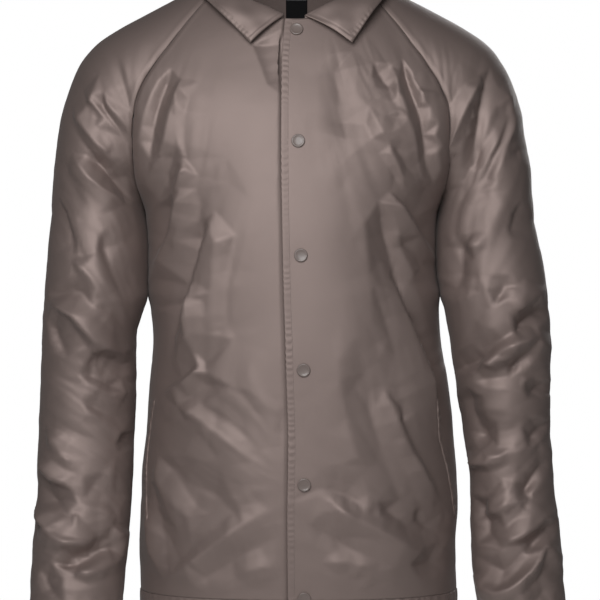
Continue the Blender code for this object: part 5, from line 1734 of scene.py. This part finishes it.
cap_mesh = snap_mesh()
snap_objects = []
for number in range(1, SNAP_COUNT + 1):
    low, high = (np.array(corner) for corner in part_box(f"snap_{number}"))
    centre = (low + high) / 2
    hit, normal, _, _ = front_tree.ray_cast(Vector((centre[0], -1.0, centre[2])), Vector((0, 1, 0)))
    normal = normal if normal.y < 0 else -normal
    cap = link(bpy.data.objects.new(f"snap_cap_{number}", cap_mesh.copy()))
    turn = normal.to_track_quat("Z", "Y").to_matrix()
    for vertex in cap.data.vertices:
        vertex.co = turn @ vertex.co + hit + normal * SNAP_LIFT
    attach(cap, "root")
    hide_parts(f"snap_{number}")
    snap_objects.append(cap)
across = 2 * max(row.radius for row in SNAP_SECTION)
print("snap caps:", len(snap_objects), "each", across, "mm across")

# %% [markdown]
# ## The neck label
#
# A woven satin label hangs inside the back of the neck. It is bare. It lies on the back's inner face,
# so its points are found by looking backwards from inside the neck.

# %% Build the label
LABEL_COLS = 14
LABEL_ROWS = 24
LABEL_OFF = 0.0006
LABEL_SAG = 0.0006
LABEL_THICKNESS = 0.0003


def label_grid():
    """The label's grid, laid on the inside of the back."""
    low, high = (np.array(corner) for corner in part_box("neck_label"))
    back_tree = tree_over([panel_grids["back"]])
    grid = []
    for z in np.linspace(low[2], high[2], LABEL_ROWS + 1):
        row = []
        for x in np.linspace(low[0], high[0], LABEL_COLS + 1):
            hit = back_tree.ray_cast(Vector((x, 0, z)), Vector((0, 1, 0)))[0]
            sag = LABEL_SAG * math.sin(40 * (x - low[0]) + 90 * (z - low[2]))
            row.append((x, hit.y - CLOTH_THICKNESS - LABEL_OFF - abs(sag), z))
        grid.append(row)
    return np.array(grid)


label = label_grid()
label_obj = grid_object("neck_label_satin", label)
thickened(label_obj, LABEL_THICKNESS, 0)
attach(label_obj, "root")
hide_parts("neck_label")
flat_size(label)[:2]
print("label:", [round(v / MM, 1) for v in flat_size(label)[:2]], "mm")

# %% [markdown]
# ## All the stitching
#
# The placket, the collar's edge, the hem seam and the cuffs each get their own rows, and the welts get
# a bar tack at each end. The lines come from the pieces themselves, so a stitch always lies on its
# cloth.

# %% Sew the stitches
fall_cols = slice(STAND_STEPS + ROLL_STEPS, collar.shape[1])
edge_rows = range(6, len(collar) - 6)
edge_line, edge_out = line_at(
    collar, collar_normals, collar_border, COLLAR_STITCH_IN, fall_cols, edge_rows
)
edge_line = edge_line + edge_out * (COLLAR_THICKNESS / 2 + STITCH_LIFT)
placket_line, placket_out = placket_line[::3], placket_out[::3]
stitched = [
    stitching("placket_stitching", [(placket_line + placket_out * STITCH_LIFT, placket_out)]),
    stitching("collar_stitching", [(edge_line, edge_out)]),
    stitching("hem_stitching", [(hem[2] + hem_out * STITCH_LIFT, hem_out)]),
    stitching("cuff_stitching", cuff_runs),
    stitching("pocket_stitching", welt_runs),
]

# %% [markdown]
# ## The nylon
#
# Taffeta has a soft, slightly silky gloss, and its colour is a grey brown that looks lighter where the
# light strikes it squarely. The weave is a real plain weave: one wave for the warp and one for the
# weft, about half a millimetre apart, as bump. Slow noise makes the colour and the gloss a little
# uneven, as dyed cloth is.

# %% Make the nylon
NYLON_COLOUR = (0.250, 0.193, 0.176, 1.0)
NYLON_DARK = (0.226, 0.173, 0.158, 1.0)
WEAVE_PITCH = 0.00055
SATIN_COLOUR = (0.010, 0.010, 0.011, 1.0)
SATIN_DARK = (0.016, 0.016, 0.017, 1.0)
SATIN_PITCH = 0.0004


def feed(tree, made, inputs):
    """Gives a node's inputs their numbers and colours, or links them to other nodes' sockets."""
    for name, value in inputs:
        if isinstance(value, bpy.types.NodeSocket):
            tree.links.new(value, made.inputs[name])
        else:
            made.inputs[name].default_value = value


def node(tree, kind, inputs=(), **values):
    """A new node with its settings, and pairs of an input's name and its number, colour or socket."""
    made = tree.nodes.new(kind)
    for key, value in values.items():
        setattr(made, key, value)
    feed(tree, made, inputs)
    return made



def math_node(tree, operation, first, second):
    """A Math node fed by sockets or numbers."""
    return node(tree, "ShaderNodeMath", ((0, first), (1, second)), operation=operation).outputs[0]


def new_material(name):
    """A new material with its node tree, its shader and the object's own places."""
    material = bpy.data.materials.new(name)
    material.use_nodes = True
    tree = material.node_tree
    return material, tree, tree.nodes["Principled BSDF"], node(tree, "ShaderNodeTexCoord")


def uneven_gloss(tree, shader, noise_node, roughness, spread):
    """Lets the roughness wander about its value as the noise does."""
    limits = (("To Min", roughness - spread), ("To Max", roughness + spread))
    gloss = node(tree, "ShaderNodeMapRange", (*limits, ("Value", noise_node.outputs["Fac"])))
    feed(tree, shader, [("Roughness", gloss.outputs["Result"])])


def cloth_material(name, colour, dark, roughness, weave_pitch):
    """A woven cloth with a plain weave drawn from the UV map, which is in metres."""
    material, tree, shader, place = new_material(name)
    spots = (("Scale", 9.0), ("Detail", 3.0), ("Vector", place.outputs["Object"]))
    slow = node(tree, "ShaderNodeTexNoise", spots)
    colours = (("A", colour), ("B", dark), ("Factor", slow.outputs["Fac"]))
    tint = node(tree, "ShaderNodeMix", colours, data_type="RGBA")
    uneven_gloss(tree, shader, slow, roughness, 0.05)
    parts = node(tree, "ShaderNodeSeparateXYZ", [("Vector", place.outputs["UV"])])
    turns = 2 * math.pi / weave_pitch
    warp, weft = (
        math_node(tree, "SINE", math_node(tree, "MULTIPLY", parts.outputs[axis], turns), 0.0)
        for axis in "XY"
    )
    weave = math_node(tree, "MULTIPLY", warp, weft)
    depth = (("Strength", 0.25), ("Distance", 0.00006), ("Height", weave))
    bump = node(tree, "ShaderNodeBump", depth)
    looks = [("Base Color", tint.outputs["Result"]), ("Normal", bump.outputs["Normal"])]
    looks += [("Metallic", 0.5), ("Specular IOR Level", 0.5)]
    looks += [("Sheen Weight", 0.06), ("Sheen Roughness", 0.4)]
    feed(tree, shader, looks)
    return material


nylon = cloth_material("nylon_taffeta", NYLON_COLOUR, NYLON_DARK, 0.58, WEAVE_PITCH)
satin = cloth_material("label_satin", SATIN_COLOUR, SATIN_DARK, 0.45, SATIN_PITCH)
print("nylon and satin are ready")

# %% [markdown]
# ## Enamel and thread
#
# The enamel is harder and glossier than the cloth, with fine unevenness from its spray. The thread is
# polyester of the same hue, darker and duller, so that the stitches just show.

# %% Make the enamel and the thread


def plain_material(name, colour, roughness, grain_scale, grain, coat=0.0, coat_rough=0.03):
    """A painted or spun finish with a slight grain in its gloss."""
    material, tree, shader, place = new_material(name)
    grains = (("Scale", grain_scale), ("Vector", place.outputs["Object"]))
    fine = node(tree, "ShaderNodeTexNoise", grains)
    uneven_gloss(tree, shader, fine, roughness, grain)
    feed(tree, shader, [("Base Color", colour), ("Coat Weight", coat), ("Coat Roughness", coat_rough)])
    return material


enamel = plain_material("snap_enamel", (0.165, 0.130, 0.118, 1.0), 0.38, 600.0, 0.05, 0.12, 0.08)
thread = plain_material("thread", (0.172, 0.139, 0.127, 1.0), 0.7, 2000.0, 0.1)

cloth_objects = [*panels.values(), placket_obj, collar_obj, hem_obj, *cuff_objects, *welt_objects]
for objects, material in (
    (cloth_objects, nylon),
    ([label_obj], satin),
    (snap_objects, enamel),
    (stitched, thread),
):
    for obj in objects:
        obj.data.materials.clear()
        obj.data.materials.append(material)
print("pieces with a finish:", len(cloth_objects) + len(snap_objects) + len(stitched) + 1)

# %% [markdown]
# ## Light and floor
#
# A studio lights clothes with large soft boxes, so that cloth shows long gentle highlights and no hard
# shadows. The main box stands in front, a little above and to the left. A weaker one fills from the
# right, and a third lights the back. The surround looks white to the camera but hardly lights the
# cloth, so that the folds keep their dark sides. The floor is pale and plain, and low enough to stay
# out of the picture.

# %% Set the light and the floor
FLOOR_Z = -1.42
FLOOR_HALF = 4.0
SURROUND_LIGHT = 0.035


def soft_box(name, place, aim, size, power):
    """A square area light that looks at a point."""
    light = bpy.data.lights.new(name, "AREA")
    light.size = size
    light.energy = power
    obj = link(bpy.data.objects.new(name, light))
    obj.location = place
    obj.rotation_euler = (Vector(aim) - Vector(place)).to_track_quat("-Z", "Y").to_euler()


soft_box("main_light", (-0.40, -2.1, 0.5), (0, 0, -0.15), 1.3, 43)
soft_box("fill_light", (1.6, -2.4, 0.3), (0, 0, -0.3), 0.9, 5)
soft_box("back_light", (0.8, 2.8, 0.6), (0, 0, -0.2), 1.6, 34)

world = bpy.data.worlds.new("studio")
bpy.context.scene.world = world
world.use_nodes = True
tree = world.node_tree
seen = node(tree, "ShaderNodeLightPath")
shades = (("To Min", SURROUND_LIGHT), ("To Max", 1.0), ("Value", seen.outputs["Is Camera Ray"]))
level = node(tree, "ShaderNodeMapRange", shades)
background = (("Color", (1, 1, 1, 1)), ("Strength", level.outputs["Result"]))
feed(tree, tree.nodes["Background"], background)
bpy.context.scene.view_settings.view_transform = "Standard"

floor_mesh = bmesh.new()
bmesh.ops.create_grid(floor_mesh, x_segments=8, y_segments=8, size=FLOOR_HALF)
floor_data = bpy.data.meshes.new("floor")
floor_mesh.to_mesh(floor_data)
floor_mesh.free()
floor = link(bpy.data.objects.new("floor", floor_data))
floor.location.z = FLOOR_Z
floor.data.materials.append(plain_material("floor_paint", (0.82, 0.82, 0.81, 1.0), 0.7, 3.0, 0.05))
floor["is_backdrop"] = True
print("the floor is", round(cad_box[0][2] - FLOOR_Z, 2), "m below the cuffs")

# %% [markdown]
# ## The sizes of the frame and the jacket
#
# Cloth may stand a little proud of the frame that carries it, but not much. The two boxes are printed
# one under the other.

# %% Print the sizes and finish
visual_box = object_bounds()
sizes = {"cad": cad_box, "visual": visual_box}
{name: [list(map(float, c)) for c in box] for name, box in sizes.items()}
print("frame:", [[round(v, 3) for v in c] for c in cad_box])
print("jacket:", [[round(v, 3) for v in c] for c in visual_box])
